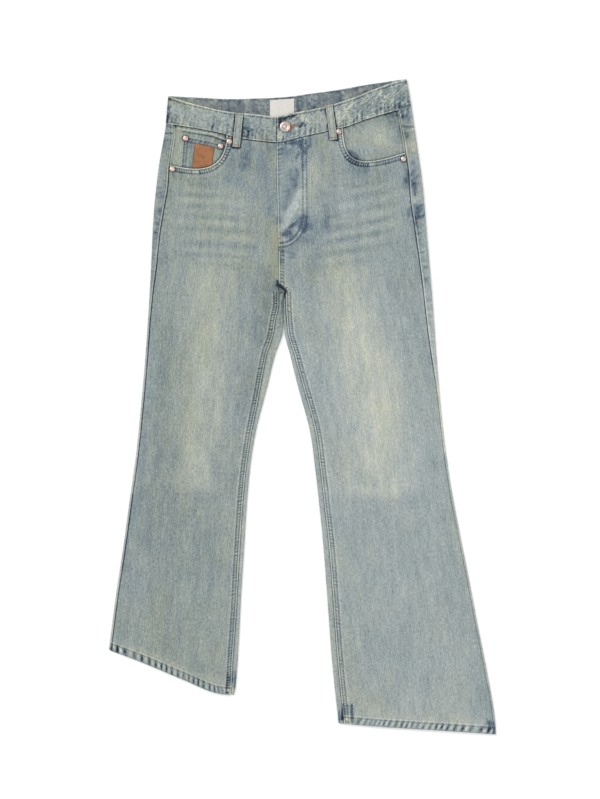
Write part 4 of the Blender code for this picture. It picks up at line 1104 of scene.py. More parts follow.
# %% Denim materials
def denim(name, contrast):
    """Washed denim: the group's colour, a dull cotton surface and a fine weave bump."""
    finish, tree, shader = new_finish(name, Roughness=0.92, Specular_IOR_Level=0.18,
                                      Sheen_Weight=0.12, Sheen_Roughness=0.6)
    group = add(tree, "ShaderNodeGroup", node_tree=indigo, Contrast=contrast)
    tree.links.new(map_of(tree), group.inputs["Cloth Map"])
    for socket in ("Wash", "Tint", "Rust"):
        tree.links.new(number_of(tree, socket.lower()), group.inputs[socket])
    tree.links.new(group.outputs["Colour"], shader.inputs["Base Color"])
    bumped(tree, shader, group.outputs["Height"], 0.55, 0.35)
    return finish


DENIM_BODY = denim("washed_denim", 1.0)
DENIM_TRIM = denim("washed_denim_trim", 1.4)
print("materials:", DENIM_BODY.name, DENIM_TRIM.name)


# %% [markdown]
# ## Making shells
#
# A flat cloth piece is best made by filling its outline with triangles, because its edges
# curve freely and the mesh can be finest along them. Strips that wrap round an edge are
# better as a grid of rows and columns. Both kinds end in `cloth`, which makes the mesh,
# turns its faces outwards and stores the three wash numbers and a map along the yarns.

# %% From points to a piece of cloth
def placed(name, mesh, sharp):
    """A mesh as an object of the garment's one body, smooth except at sharp edges."""
    mesh.shade_smooth()
    mesh.set_sharp_from_angle(angle=math.radians(sharp))
    piece = bpy.data.objects.new(name, mesh)
    bpy.context.scene.collection.objects.link(piece)
    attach(piece, "root")
    return piece


def cloth(name, points, faces, finish, masks, grain=0.0, sharp=50.0):
    """A mesh object from millimetres, facing out, with its wash and its cloth map."""
    points = np.asarray(points, float)
    volume = 0.0
    for group in faces:
        a = points[group[:, 0]]
        for i in range(1, group.shape[1] - 1):
            b, c = points[group[:, i]], points[group[:, i + 1]]
            volume += np.einsum("ij,ij->", a, np.cross(b, c))
    if volume < 0:
        faces = [group[:, ::-1] for group in faces]
    mesh = bpy.data.meshes.new(name)
    mesh.from_pydata((points * MM).tolist(), [], [f for g in faces for f in g.tolist()])
    for mask, values in masks.items():
        layer = mesh.attributes.new(mask, "FLOAT", "POINT")
        values = np.clip(values / (2 if mask == "tint" else 1), 0, 1)
        layer.data.foreach_set("value", values.astype(np.float32))
    corner = np.empty(len(mesh.loops), int)
    mesh.loops.foreach_get("vertex_index", corner)
    c, s = math.cos(grain), math.sin(grain)
    flat = np.stack([points[:, 0] * c + points[:, 1] * s,
                     points[:, 1] * c - points[:, 0] * s], axis=1) * MM
    layer = mesh.uv_layers.new(name="cloth_map")
    layer.data.foreach_set("uv", flat[corner].astype(np.float32).ravel())
    mesh.materials.append(finish)
    print(f"{name}: {len(points)} points, {len(mesh.polygons)} faces")
    return placed(name, mesh, sharp)


def marked(wash, tint, rust=0.0):
    """The three numbers of a face, by name."""
    return {"wash": wash, "tint": tint, "rust": rust + 0 * wash}


print("numbers on a mesh:", list(marked(0, 0)))


# %% Closed rings
def with_middles(points):
    """Rings of points in rows, then the middles of the first and the last ring."""
    return np.vstack([points.reshape(-1, 3), points[0].mean(axis=0), points[-1].mean(axis=0)])


def tube(rows, count):
    """Faces of closed rings of points in rows, and of two caps, whose middles come last."""
    index = np.arange(rows * count).reshape(rows, count)
    nxt = np.roll(index, -1, axis=1)
    quads = np.stack([index[:-1], nxt[:-1], nxt[1:], index[1:]], axis=-1).reshape(-1, 4)
    ends = [np.stack([nxt[0], index[0]], axis=1), np.stack([index[-1], nxt[-1]], axis=1)]
    caps = [np.insert(end, 2, rows * count + i, axis=1) for i, end in enumerate(ends)]
    return quads, np.vstack(caps)


walls, ends = tube(2, 6)
print("two rings of six points:", len(walls), "faces between them and", len(ends), "in the caps")

# %% Fill an outline
RINGS = (0.12, 0.45, 1.0, 2.0)     # distances in from an outline, for its rounded edge


def filled(outline, rows, spacing):
    """Triangles over an outline, whose own points come first, with extra rows of points."""
    loop = looped(outline)
    points = []
    for distance in RINGS if rows is not None else ():
        ring = shifted(loop, distance * np.sign(swept(loop)))[:-1]
        points.append(ring[(follow(ring, loop)[0] > 0.96 * distance) & inside(ring, outline)])
    for row in rows or ():
        row = resampled(row, 1.2)
        points.append(row[inside(row, outline) & (follow(row, loop)[0] > 2.6)])
    low, high = outline.min(axis=0), outline.max(axis=0)
    levels = np.arange(low[1], high[1], spacing * 0.87)
    fill = np.array([(x + (i % 2) * spacing / 2, y) for i, y in enumerate(levels)
                     for x in np.arange(low[0], high[0], spacing)])
    fill = fill[inside(fill, outline)]
    clear = follow(fill, loop)[0] > (RINGS[-1] if rows is not None else 0) + spacing * 0.55
    for row in rows or ():
        clear &= follow(fill, row)[0] > spacing * 0.42
    points.append(fill[clear])
    spots = np.vstack([outline, *points])
    border = [(i, (i + 1) % len(outline)) for i in range(len(outline))]
    flat, _, faces, origins, _, _ = delaunay_2d_cdt(
        [Vector(p) for p in spots.tolist()], border, [], 1, 1e-5)
    place = {old: new for new, olds in enumerate(origins) for old in olds}
    first = [place[i] for i in range(len(outline))]
    taken = set(first)
    order = first + [i for i in range(len(flat)) if i not in taken]
    renumber = np.empty(len(flat), int)
    renumber[order] = np.arange(len(flat))
    return np.array([flat[i] for i in order]), renumber[np.array(faces)]


print("edge rings at", RINGS, "mm")


# %% Plates and grids
def plate(name, edges, upper, lower, finish, spacing=2.6, rows=(), grain=0.0, step=2.0):
    """A cloth wall over an outline. upper and lower give the heights and the masks."""
    outline = np.vstack([resampled(np.array(line, float), step)[:-1] for line in edges])
    keep = np.linalg.norm(outline - np.roll(outline, 1, axis=0), axis=1) > 0.2
    outline = outline[keep]
    top, top_faces = filled(outline, list(rows), spacing)
    under, under_faces = filled(outline, None, max(8.0, spacing))
    heights, masks = upper(top)
    low_heights, low_masks = lower(under)
    count, border = len(top), len(outline)
    points = np.vstack([np.column_stack([top, heights]),
                        np.column_stack([under, low_heights])])
    i = np.arange(border)
    j = (i + 1) % border
    wall = np.stack([i, count + i, count + j, j], axis=1)
    if np.cross(top[top_faces[0][1]] - top[top_faces[0][0]],
                top[top_faces[0][2]] - top[top_faces[0][0]]) < 0:
        top_faces, under_faces = top_faces[:, ::-1], under_faces[:, ::-1]
    if swept(looped(outline)) < 0:
        wall = wall[:, ::-1]
    joined = {m: np.concatenate([masks[m], low_masks[m]]) for m in masks}
    faces = [top_faces, count + under_faces[:, ::-1], wall]
    return cloth(name, points, faces, finish, joined, grain)


def grid(name, outer, inner, finish, masks, grain=0.0):
    """A wall between two grids of points; masks are arrays of the same rows and columns."""
    rows, columns = outer.shape[:2]
    index = np.arange(rows * columns).reshape(rows, columns)
    quads = np.stack([index[:-1, :-1], index[:-1, 1:], index[1:, 1:], index[1:, :-1]],
                     axis=-1).reshape(-1, 4)
    rim = np.concatenate([index[:, 0], index[-1, 1:], index[-2::-1, -1], index[0, -2:0:-1]])
    layer = rows * columns
    following = np.roll(rim, -1)
    wall = np.stack([rim, following, layer + following, layer + rim], axis=1)
    faces = [quads[:, ::-1], layer + quads, wall[:, ::-1]]
    points = np.vstack([outer.reshape(-1, 3), inner.reshape(-1, 3)])
    both = {m: np.concatenate([v[0].ravel(), v[1].ravel()]) for m, v in masks.items()}
    return cloth(name, points, faces, finish, both, grain)


print("a plate's plain fill starts", RINGS[-1], "mm inside its outline")


# %% [markdown]
# ## Relief of the front panels
#
# Hems, felled inseams and pocket mouths are turned and stitched, which makes a raised
# band. When the jeans shrink in the wash, thread and cloth shrink differently, and the
# band twists into short slanted puckers that makers call roping. The pucker's crest rubs
# pale and its hollow stays blue, so one number drives both the height and the wash.

# %% Seams that leave a mark on the fronts
# Columns: band width, band height, stitch rows, pucker pitch, slant, pucker height,
# reach of the pull beyond the band, pull height.
SEWN = {
    "hem": (HEM_WIDTH, HEM_RIDGE, (11.3,), 10.6, 0.40, 0.55, 7.0, 0.24),
    "inseam": (FELL_WIDTH, FELL_RIDGE, (2.6, 7.6), 4.4, 0.40, 0.36, 10.0, 0.24),
    "mouth": (MOUTH_WIDTH, MOUTH_RIDGE, (2.8, 8.2), 4.4, 0.25, 0.42, 10.0, 0.34),
    "fell": (FELL_WIDTH, FELL_RIDGE, (2.6, 7.6), 5.4, 0.30, 0.36, 10.0, 0.34),
    "side": (0.0, 0.0, (), 9.0, 0.0, 0.0, 9.0, 0.20),
    "waist": (0.0, 0.0, (), 7.6, 0.0, 0.0, 15.0, 0.50),
    "centre": (0.0, 0.0, (), 8.0, 0.0, 0.0, 12.0, 0.20),
}
# Lines that rubbing leaves along a seam, and painted shade: the dark first line of the side
# and waist seams is shade painted in the seam's ditch. Columns: distance from its edge, half
# width, wash, and how far it is broken up by the puckers.
RUBBED_AND_SHADED = {
    "hem": [(0.4, 1.2, -0.10, 0.0), (5.8, 5.0, -0.56, 1.0), (6.2, 5.0, 0.34, 1.0),
            (11.4, 1.1, -0.42, 0.3), (13.3, 1.0, 0.34, 0.2), (18.0, 3.0, 0.04, 0.0)],
    "inseam": [(0.9, 1.0, 0.40, 0.2), (2.7, 1.0, -0.54, 0.3), (5.1, 1.4, 0.26, 0.6),
               (5.3, 2.2, -0.44, 1.0), (7.8, 1.0, -0.56, 0.3), (10.2, 1.1, 0.26, 0.3)],
    "mouth": [(0.9, 1.1, 0.52, 0.0), (2.9, 0.9, -0.62, 0.2), (5.6, 2.0, -0.60, 1.0),
              (5.4, 2.0, 0.42, 0.8), (8.4, 1.0, -0.60, 0.3), (10.6, 0.9, 0.16, 0.6),
              (13.0, 2.4, 0.06, 0.3)],
    "fell": [(0.9, 1.0, 0.46, 0.2), (2.7, 1.0, -0.48, 0.3), (5.2, 1.8, -0.44, 1.0),
             (5.2, 1.8, 0.24, 0.8), (7.8, 0.9, -0.42, 0.3), (10.6, 1.6, 0.12, 0.3)],
    "side": [(0.5, 1.1, -0.50, 0.0), (2.7, 1.0, 0.20, 0.2)],
    "waist": [(0.5, 1.1, -0.46, 0.0), (2.8, 0.9, 0.28, 0.6), (5.5, 2.0, -0.10, 1.0)],
    "centre": [],
}
SEAM_STEP = 3.0     # between the points of a seam
below_fly = EDGES["left"]["centre"]
below_fly = below_fly[below_fly[:, 1] < FLY_BOTTOM - 4]
LINES = {side: {seam: resampled(line, SEAM_STEP) for seam, line in EDGES[side].items()}
         for side in INWARD}
LINES["left"]["fell"] = resampled(below_fly, SEAM_STEP)
print("points of the hems:", {side: len(lines["hem"]) for side, lines in LINES.items()})


# %% Height and wash beside a seam
def rounded(away, radius=0.9):
    """How far a rounded edge drops, by the distance from it."""
    t = np.clip(1 - away / radius, 0, 1)
    return radius * (1 - np.sqrt(1 - t * t))


def calm(points):
    """0 under a rivet, where the cloth is clamped flat, and 1 away from it."""
    still = np.ones(len(points))
    for spot in RIVETS.values():
        still *= ramp((away_from(points, spot) - 4) / 6)
    return still


def seam_marks(seam, away, along):
    """(height, wash) that a seam adds, by the distance from its edge and along it."""
    width, rise, rows, pitch, slant, pucker, reach, pull = SEWN[seam]
    seed = len(seam) + 3
    ripple = rope(along + slant * away, pitch, seed, 0.2 if seam == "hem" else 0.55)
    height, wash = np.zeros(len(away)), np.zeros(len(away))
    if rise:
        on_band = ramp((width + RIDGE_STEP - away) / RIDGE_STEP)
        soft = 7.0 if seam == "hem" else 1.4
        height += pucker * ripple * on_band * ramp((away - 0.8) / soft)
        for row in rows:
            height -= 0.30 * bump((away - row) / 0.7)
    patchy = 0.9 + 0.5 * noise(along, away, 1.8 * pitch, 7, 2, seed + 2)
    patchy = np.clip(patchy, 0.2 if seam == "hem" else 0.5, 1.3)
    for place, half_width, change, broken in RUBBED_AND_SHADED[seam]:
        ticks = np.clip(math.copysign(1.2, change) * ripple, 0, 1) * patchy
        wash += change * (1 - broken + broken * ticks) * bump((away - place) / half_width)
    beyond = np.clip(away - width, 0, None)
    fading = np.exp(-beyond / reach) * ramp((away - width) / 1.5)
    pulled = rope(along + 0.25 * beyond, 1.25 * pitch, seed + 5)
    pulled = pulled * (0.6 + 0.6 * noise(along, beyond, 3 * pitch, 9, seed=seed))
    height += pull * pulled * fading
    wash += 0.26 * pull * pulled * fading
    return height, wash


print("a hem's edge:", [np.round(v, 3) for v in seam_marks("hem", np.zeros(1), np.zeros(1))])


# %% Relief of a whole front
def front_relief(side, points):
    """(height, masks) of a front panel's upper face."""
    across, up = points.T
    height = front_height(side, points)
    wash, tint = wash_at(side, points)
    still = calm(points)
    raised = np.zeros(len(points))
    for seam, (width, rise, *_) in SEWN.items():
        if seam not in LINES[side]:
            continue
        away, along = follow(points, LINES[side][seam])
        lift, change = seam_marks(seam, away, along)
        if (side, seam) == ("left", "side"):
            change = change * (0.25 + 0.75 * ramp((up - 10) / 90))
        height += lift * still
        if (side, seam) == ("right", "inseam"):
            change = change * ramp((192 - up) / 3)
        wash += change
        if rise:
            on_band = ramp((width + RIDGE_STEP - away) / RIDGE_STEP)
            raised = np.maximum(raised, rise * on_band)
    wash -= loop_indigo_and_shadow(points)
    outline = np.vstack([*EDGES[side].values()])
    to_edge, _ = follow(points, looped(outline))
    height += raised - rounded(to_edge) - 0.9 * wedge(points, CROTCH_CREASE)
    uneven = 0.20 * noise(across, up, 13, 26, 3, seed=6) + 3.4 * whiskers_at(points)
    height += uneven * ramp(to_edge / 12)
    return height, marked(wash, tint, rust_at(points))


def plain(height, wash=0.4):
    """An even lower face at a height function."""
    def lower(points):
        number = np.full(len(points), wash)
        return height(points), marked(number, number * 0.5)
    return lower


knee = np.array([FADES["left"][4]], float)
print("front at the knee, with its creases:", np.round(front_relief("left", knee)[0], 2), "mm")

# %% Make the fronts
GRAIN = {"right": math.radians(-5.0), "left": math.radians(6.4)}    # lean of each leg
pieces = {}


def ridge_rows(side):
    """Rows of points across every raised band, at its foot and just beyond it."""
    found = []
    for seam, (width, rise, *_) in SEWN.items():
        if rise and seam in LINES[side]:
            places = [*np.arange(2.9, width - 0.7, 1.1), width, width + RIDGE_STEP, width + 2.6]
            found += [shifted(LINES[side][seam], INWARD[side] * place) for place in places]
    crease = np.array([row[:2] for row in CROTCH_CREASE])
    return found + [shifted(crease, place) for place in (-3.0, -1.5, 0.0, 1.5, 3.0)]


for side in INWARD:
    pieces["front_" + side] = plate(
        f"front_{side}_cloth", EDGES[side].values(),
        lambda points, side=side: front_relief(side, points),
        plain(lambda points, side=side: front_height(side, points) - DENIM),
        DENIM_BODY, spacing=2.6, rows=ridge_rows(side), grain=GRAIN[side], step=1.5)


# %% [markdown]
# ## Backs and yokes
#
# Only a narrow strip of each back shows, folded over the edge of the leg, but the whole
# panel is there: it lies flat on the floor and turns up round both edges. A grid suits
# it, because each row is one section across the leg: over the outer fold, along the
# floor, and up over the inner fold.

# %% Sections across the back
# Places of the columns on the strip that shows, from its tip; the outer fold comes next.
STRIP_SHARES = (0.0, 0.02, 0.06, 0.12, 0.22, 0.32, 0.42, 0.5, 0.6, 0.8)
FOLD_COLUMN = len(STRIP_SHARES)


def cos_sin(degrees):
    """Cosine and sine of an angle."""
    angle = math.radians(degrees)
    return math.cos(angle), math.sin(angle)


def section(width, side_strip, inner_strip, turned, columns=20):
    """(path, normals) of one row: places and heights of its outer face, and its facing."""
    radius = EDGE / 2
    ridge = SIDE_RIDGE * ramp((side_strip - 6) / 6)
    path, normals = [], []
    for share in STRIP_SHARES:
        path.append((side_strip + (radius - side_strip) * share,
                     EDGE + ridge * ramp((0.6 - share) / 0.18)))
        normals.append((0.0, 1.0))
    for turn in np.linspace(90, 270, 11):
        c, s = cos_sin(turn)
        path.append((radius + radius * c, radius + radius * s))
        normals.append((c, s))
    flat = 6.0 * (1 - turned)
    angle = math.pi * turned
    reach = width - radius * math.sin(min(angle, math.pi / 2)) - flat - 0.3 * (1 - turned)
    for share in np.linspace(0, 1, columns + 2)[1:-1]:
        path.append((radius + (reach - radius) * (1 - (1 - share) ** 1.7), 0.0))
        normals.append((0.0, -1.0))
    for share in np.linspace(0, 1, 11):
        s, c = math.sin(angle * share), math.cos(angle * share)
        path.append((reach + radius * s + flat * share, radius - radius * c))
        normals.append((s, -c))
    end, tail = path[-1], max(inner_strip - radius, 0.3)
    along = (math.cos(angle), math.sin(angle))
    for share in (0.2, 0.4, 0.6, 0.8, 0.93, 1.0):
        path.append((end[0] + along[0] * tail * share, end[1] + along[1] * tail * share))
        normals.append((along[1], -along[0]))
    return np.array(path), np.array(normals)


def back_row(side, outer_up, inner_up, turned=0.0, growth=0.0, on_leg=False, columns=20):
    """Points and outward normals of one row, and how far each is from its strip's tip."""
    start, end = row_ends(side, outer_up, inner_up, on_leg)
    side_strip = crossing(side, side_seam, start, end) - GAP / 2
    inner_strip = 0.0
    if on_leg:
        inner_strip = (crossing(side, inseam, end, start) - GAP / 2) * growth
    path, normals = section(math.dist(start, end), side_strip, inner_strip, turned, columns)
    along = (end - start) / np.linalg.norm(end - start)
    plan = start + path[:, :1] * along
    points = np.column_stack([plan, base(plan[:, 1]) + path[:, 1]])
    facing = np.column_stack([normals[:, :1] * along, normals[:, 1]])
    gone = length_of(path)
    return points, facing, gone, gone[-1] - gone


print("points of one row:", len(section(200.0, 10.0, 8.0, 1.0)[0]))


# %% Puckers and wash of the strips that show
HEM_ROWS = 5        # rows within the turned hem


def wrapped(side, rows, heavy_hem, columns=20):
    """Outer face, inner face and masks of a back panel or a yoke, from its rows."""
    made = [back_row(side, *row, columns=columns) for row in rows]
    points, facing, from_side, from_inner = (np.array([m[k] for m in made]) for k in range(4))
    down = length_of(points[:, FOLD_COLUMN + 2])[:, None] + np.zeros(points.shape[:2])
    flat = points.reshape(-1, 3)[:, :2]
    up = points[:, :, 1]
    above = points[:, :, 2] - base(up)
    shown = ramp((above - 0.5) / 2.5)
    wash, tint = (v.reshape(points.shape[:2]) for v in wash_at(side, flat, shown.ravel()))
    on_side = ramp((26 - from_side) / 6)
    on_inner = ramp((18 - from_inner) / 5) * (up < CROTCH_UP)
    spots = np.clip(-rope(down, 17.0, 4), 0, 1) * bump((from_side - 6.5) / 3.6)
    ripple_side = rope(down + 0.3 * from_side, 7.0, 6)
    ripple_inner = rope(down - 0.3 * from_inner, 5.4, 9)
    near = np.minimum(from_side, from_inner)
    lift = 0.14 * ripple_side * on_side + 0.10 * ripple_inner * on_inner - 0.2 * spots
    lift = lift * ramp(near / 1.5) - 0.8 * rounded(near, 0.8)
    lift *= above > 0.6
    under = ramp((near - 22) / 10) * (above < 0.1)
    hollow = noise(points[:, :, 0], up, 34, 60, 3, seed=26)
    lift -= 0.55 * np.clip(hollow + 0.1, 0, 1) * under
    wash += 0.07 * ripple_side * on_side + 0.05 * ripple_inner * on_inner + 0.03 * on_inner
    wide = from_side[:, [FOLD_COLUMN]] > 9
    wash -= 0.30 * spots * wide * ((up < 330) | (side == "left"))
    wash -= 0.34 * bump(from_inner) * (up < CROTCH_UP)
    seen = 1.0 if side == "right" else 0.3 + 0.7 * ramp((up - 10) / 90)
    wash += 0.24 * seen * bump(from_side - 1.2)
    wash -= 0.20 * bump((from_side - 3.2) / 0.9) * wide
    # Painted light on the strips that turn away from the key lamp: the left leg's outer strip and
    # the right leg's inner one.
    turned_from_key = on_side if side == "left" else on_inner
    wash += 0.10 * turned_from_key * (1 - bump(from_inner / 1.5))
    yoke_seam = YOKE_SEAM[side][0] - GAP / 2 - up
    if heavy_hem:
        dots = np.clip(np.cos(2 * np.pi * from_side / 4.2), 0, 1)
        wash += on_side * (0.26 * bump(yoke_seam - 0.8) + 0.10 * bump((yoke_seam - 5) / 3.0))
        wash -= 0.42 * dots * on_side * bump((yoke_seam - 10.0) / 1.5)
        wash -= 0.10 * ramp((14 - (up - up[-1:])) / 4) * (1 + ripple_side)
    else:
        wash -= 0.40 * on_side * bump((yoke_seam + 0.8) / 1.2)
    beside = INWARD[side] * (smooth(INNER_EDGE[side], up) - points[:, :, 0])
    gap = smooth(INNER_EDGE["left"], up) - smooth(INNER_EDGE["right"], up)
    closed = ramp((up - 128) / 14) * (up < CROTCH_UP)
    closed = closed * ramp(1 - beside / 6) * (0.5 * gap + 0.1)
    points[:, :, 0] += INWARD[side] * closed
    outer = points + facing * lift[:, :, None]
    wall = DENIM + np.zeros(points.shape[:2])
    if heavy_hem:
        wall[-HEM_ROWS:] += HEM_RIDGE
    wall = wall + np.where(above > EDGE - 0.1, above - EDGE, 0)
    inner = points - facing * wall[:, :, None]
    lining = np.full(points.shape[:2], 0.35)
    masks = {"wash": (wash, lining), "tint": (tint, lining), "rust": (0 * wash, 0 * wash)}
    return outer, inner, masks


print("denim is", DENIM + HEM_RIDGE, "mm thick at a turned hem")

# %% Make the backs
for side in INWARD:
    rows = [(*row, 0.0, False) for row in seat_rows(side)]
    rows += [(outer_up, inner_up, 1.0, growth, True)
             for outer_up, inner_up, growth in leg_rows(side)]
    outer, inner, masks = wrapped(side, rows, True)
    pieces["back_" + side] = grid(f"back_{side}_cloth", outer, inner, DENIM_BODY, masks,
                                  GRAIN[side])

# %% Make the yokes
for side in INWARD:
    rows = [(*row, 0.0, 0.0, False) for row in yoke_rows(side)]
    outer, inner, masks = wrapped(side, rows, False, 40)
    share = np.linspace(1, 0, len(rows))[:, None] ** 4
    for face in (outer, inner):
        x, y = face[:, :, 0], face[:, :, 1]
        on_front = face[:, :, 2] > SEAT_LIFT + EDGE / 2
        target = np.where(on_front, smooth(WAIST_SEAM, x), back_seam(x)) - WAIST_GAP
        face[:, :, 1] = y + (target[0] - y[0]) * share
        face[0, 0, 0] = np.interp(-face[0, 0, 1], -SIDE_LINE[side][:, 1],
                                  SIDE_LINE[side][:, 0]) - INWARD[side] * GAP
    pieces["yoke_" + side] = grid(f"yoke_{side}_cloth", outer, inner, DENIM_TRIM, masks)


# %% [markdown]
# ## Waistband
#
# The band is one long strip folded lengthwise, so its upper edge is a soft fold and its
# lower edge is stitched down. It runs from the buttoned end on the left, round the back
# and over to the right, where it slips under the button end. A closed ring of points is
# swept along it: outer face, fold, inner face, lower edge.

# %% Section of the band
def band_ring():
    """(height share, depth, face) rows round the section; face is 1 out, 0 edge, -1 in."""
    half = BAND_WALL / 2
    ring = [(share, 0.0, 1) for share in (0.003, 0.012, 0.03)]
    ring += [(share, 0.0, 1) for share in np.linspace(0.045, 0.965, 38)]
    for turn in np.linspace(80, -80, 7):
        c, s = cos_sin(turn)
        ring.append((1 - (half - half * c) / BAND_HEIGHT, half * s - half, 0))
    ring += [(share, -BAND_WALL, -1) for share in np.linspace(0.94, 0.06, 14)]
    ring += [(0.008, -BAND_WALL + 0.3, 0), (0.0, -BAND_WALL / 2, 0), (0.0, -0.35, 0)]
    return np.array(ring)


RING = band_ring()
print("points of the band's section:", len(RING))


# %% Stations along the band
def band_stations(side, spacing=1.35):
    """Top and bottom places, height and turn of each station on the front and its fold."""
    sign = INWARD[side]
    corner_top, corner_bottom = OUTER_EDGE[side][0][1], OUTER_EDGE[side][1][1]
    radius = (float(band_height(side, corner_top)) - SEAT_LIFT) / 2
    centre = float(smooth(CENTRE_FRONT, CENTRE_TOP[0])) - sign * 2 * GAP
    x_top = np.linspace(centre, corner_top + sign * radius,
                        round(abs(corner_top - centre) / spacing))
    share = (x_top - centre) / (corner_top + sign * radius - centre)
    x_bottom = centre + (corner_bottom + sign * radius - centre) * share
    rows = [(a, b, float(band_height(side, a)), 90.0) for a, b in zip(x_top, x_bottom)]
    for turn in np.linspace(90, -90, 12)[1:-1]:
        c, s = cos_sin(turn)
        out = sign * radius * (1 - c)
        rows.append((corner_top + out, corner_bottom + out, SEAT_LIFT + radius + radius * s,
                     turn if side == "left" else 180 - turn))
    return [(a, float(smooth(BAND_TOP_FRONT, a)), b, float(smooth(WAIST_SEAM, b)), z, t)
            for a, b, z, t in rows]


def back_stations(spacing=4.0):
    """The same of each station round the back."""
    right, left = OUTER_EDGE["right"], OUTER_EDGE["left"]
    radius = (float(band_height("right", right[0][1])) - SEAT_LIFT) / 2
    rows = []
    for share in np.linspace(0, 1, round((left[0][1] - right[0][1]) / spacing)):
        a, b = (r + radius + (t - r - 2 * radius) * share
                for r, t in ((right[0][1], left[0][1]), (right[1][1], left[1][1])))
        rows.append((a, float(smooth(BAND_TOP_BACK, a)), b, float(back_seam(b)),
                     SEAT_LIFT, -90.0))
    return rows


band_path = np.array([*band_stations("right"), *back_stations(),
                      *band_stations("left")[::-1]])
print("stations along the band:", len(band_path))


# %% Creases and wash of the band
# Where the band stayed blue. Columns: across, up from the seam, half width, half height,
# strength.
# Rows with a strength below 0 are paler; the one at -38, 10 is painted light on the shadow that
# the button casts.
BAND_BLUES = [
    (-35, 37, 9, 13, 0.56), (-18, 41, 12, 4, 0.3), (-2, 22, 8, 6, 0.4), (-98, 12, 16, 13, 0.18),
    (-218, 10, 12, 12, 0.14), (150, 10, 16, 18, 0.06), (-150, 18, 12, 12, 0.08),
    (100, 14, 10, 8, -0.06), (48, 28, 26, 14, -0.06), (-228, 30, 8, 26, 0.3),
    (36, 40, 6, 8, 0.22), (70, 20, 20, 14, -0.1), (-38, 10, 5, 8, -0.3), (168, 42, 14, 8, 0.12),
    (-104, 20, 8, 14, 0.12), (-138, 26, 10, 10, 0.04), (-96, 30, 9, 10, 0.1),
    (50, 24, 14, 12, -0.08), (166, 6, 13, 10, 0.14), (-215, 42, 14, 7, 0.1),
    (-92, 16, 8, 14, 0.08),
]


def band_relief(along, points, share, back):
    """(lift, wash change) of the band's outer face."""
    across = points[..., 0]
    from_top, from_seam = (1 - share) * BAND_HEIGHT, share * BAND_HEIGHT
    low, top = ramp((25 - from_seam) / 16), ramp((9 - from_top) / 5)
    rope_low = rope(along + 0.12 * from_seam, 7.4, 12)
    rope_low = rope_low * (0.75 + 0.6 * noise(along, from_seam, 30, 40, seed=13))
    rope_top = rope(along - 0.4 * from_top, 7.0, 14)
    rumpled = 0.35 + 0.75 * ramp((across - 40) / 40) + 0.45 * bump((across + 105) / 26)
    rumpled = rumpled + 0.6 * bump((across + 10) / 24)
    crossed = crinkle(across - 0.8 * from_seam, from_seam, 8, 9, seed=15) - 0.28
    fine = crinkle(across + 0.5 * from_seam, from_seam, 3.8, 3.4, seed=18) - 0.3
    crease = noise(across + 0.9 * from_seam, from_seam, 15, 24, 3, seed=16)
    lift = 0.55 * rope_low * low + 0.20 * rope_top * top + 0.30 * crease
    lift += 0.65 * crossed * rumpled + 0.20 * fine
    lift -= 0.30 * bump((from_seam - 2.2) / 0.8) + 0.25 * bump((from_top - 3.2) / 0.8)
    wash = (0.16 * np.clip(rope_low, 0, 1) - 0.30 * np.clip(-rope_low, 0, 1) - 0.05) * low
    wash += 0.06 * rope_top * top + 0.08 * crease + 0.46 * crossed * rumpled + 0.36 * fine
    wash += 0.50 * bump(from_top / 1.9) * (1 - back) + 0.46 * bump(from_seam / 1.1)
    wash -= (0.24 + 0.24 * bump((across + 32) / 18)) * bump(from_top / 2.8) * back
    wash -= 0.40 * bump((from_top - 4.2) / 0.9) * (1 - back)
    wash -= 0.24 * bump((from_seam - 2.7) / 0.8)
    uneven = 1 + 0.3 * noise(across, from_seam, 6, seed=17)
    for x, y, half_width, half_height, strength in BAND_BLUES:
        away = np.hypot((across - x) / half_width, (from_seam - y) / half_height) * uneven
        wash -= strength * ramp((1.4 - away) / 0.7) * (1 - back) * (abs(across + 41.5) > 1)
    return lift * ramp(np.minimum(from_seam, from_top) / 1.2), wash


print("places that stayed blue on the band:", len(BAND_BLUES))


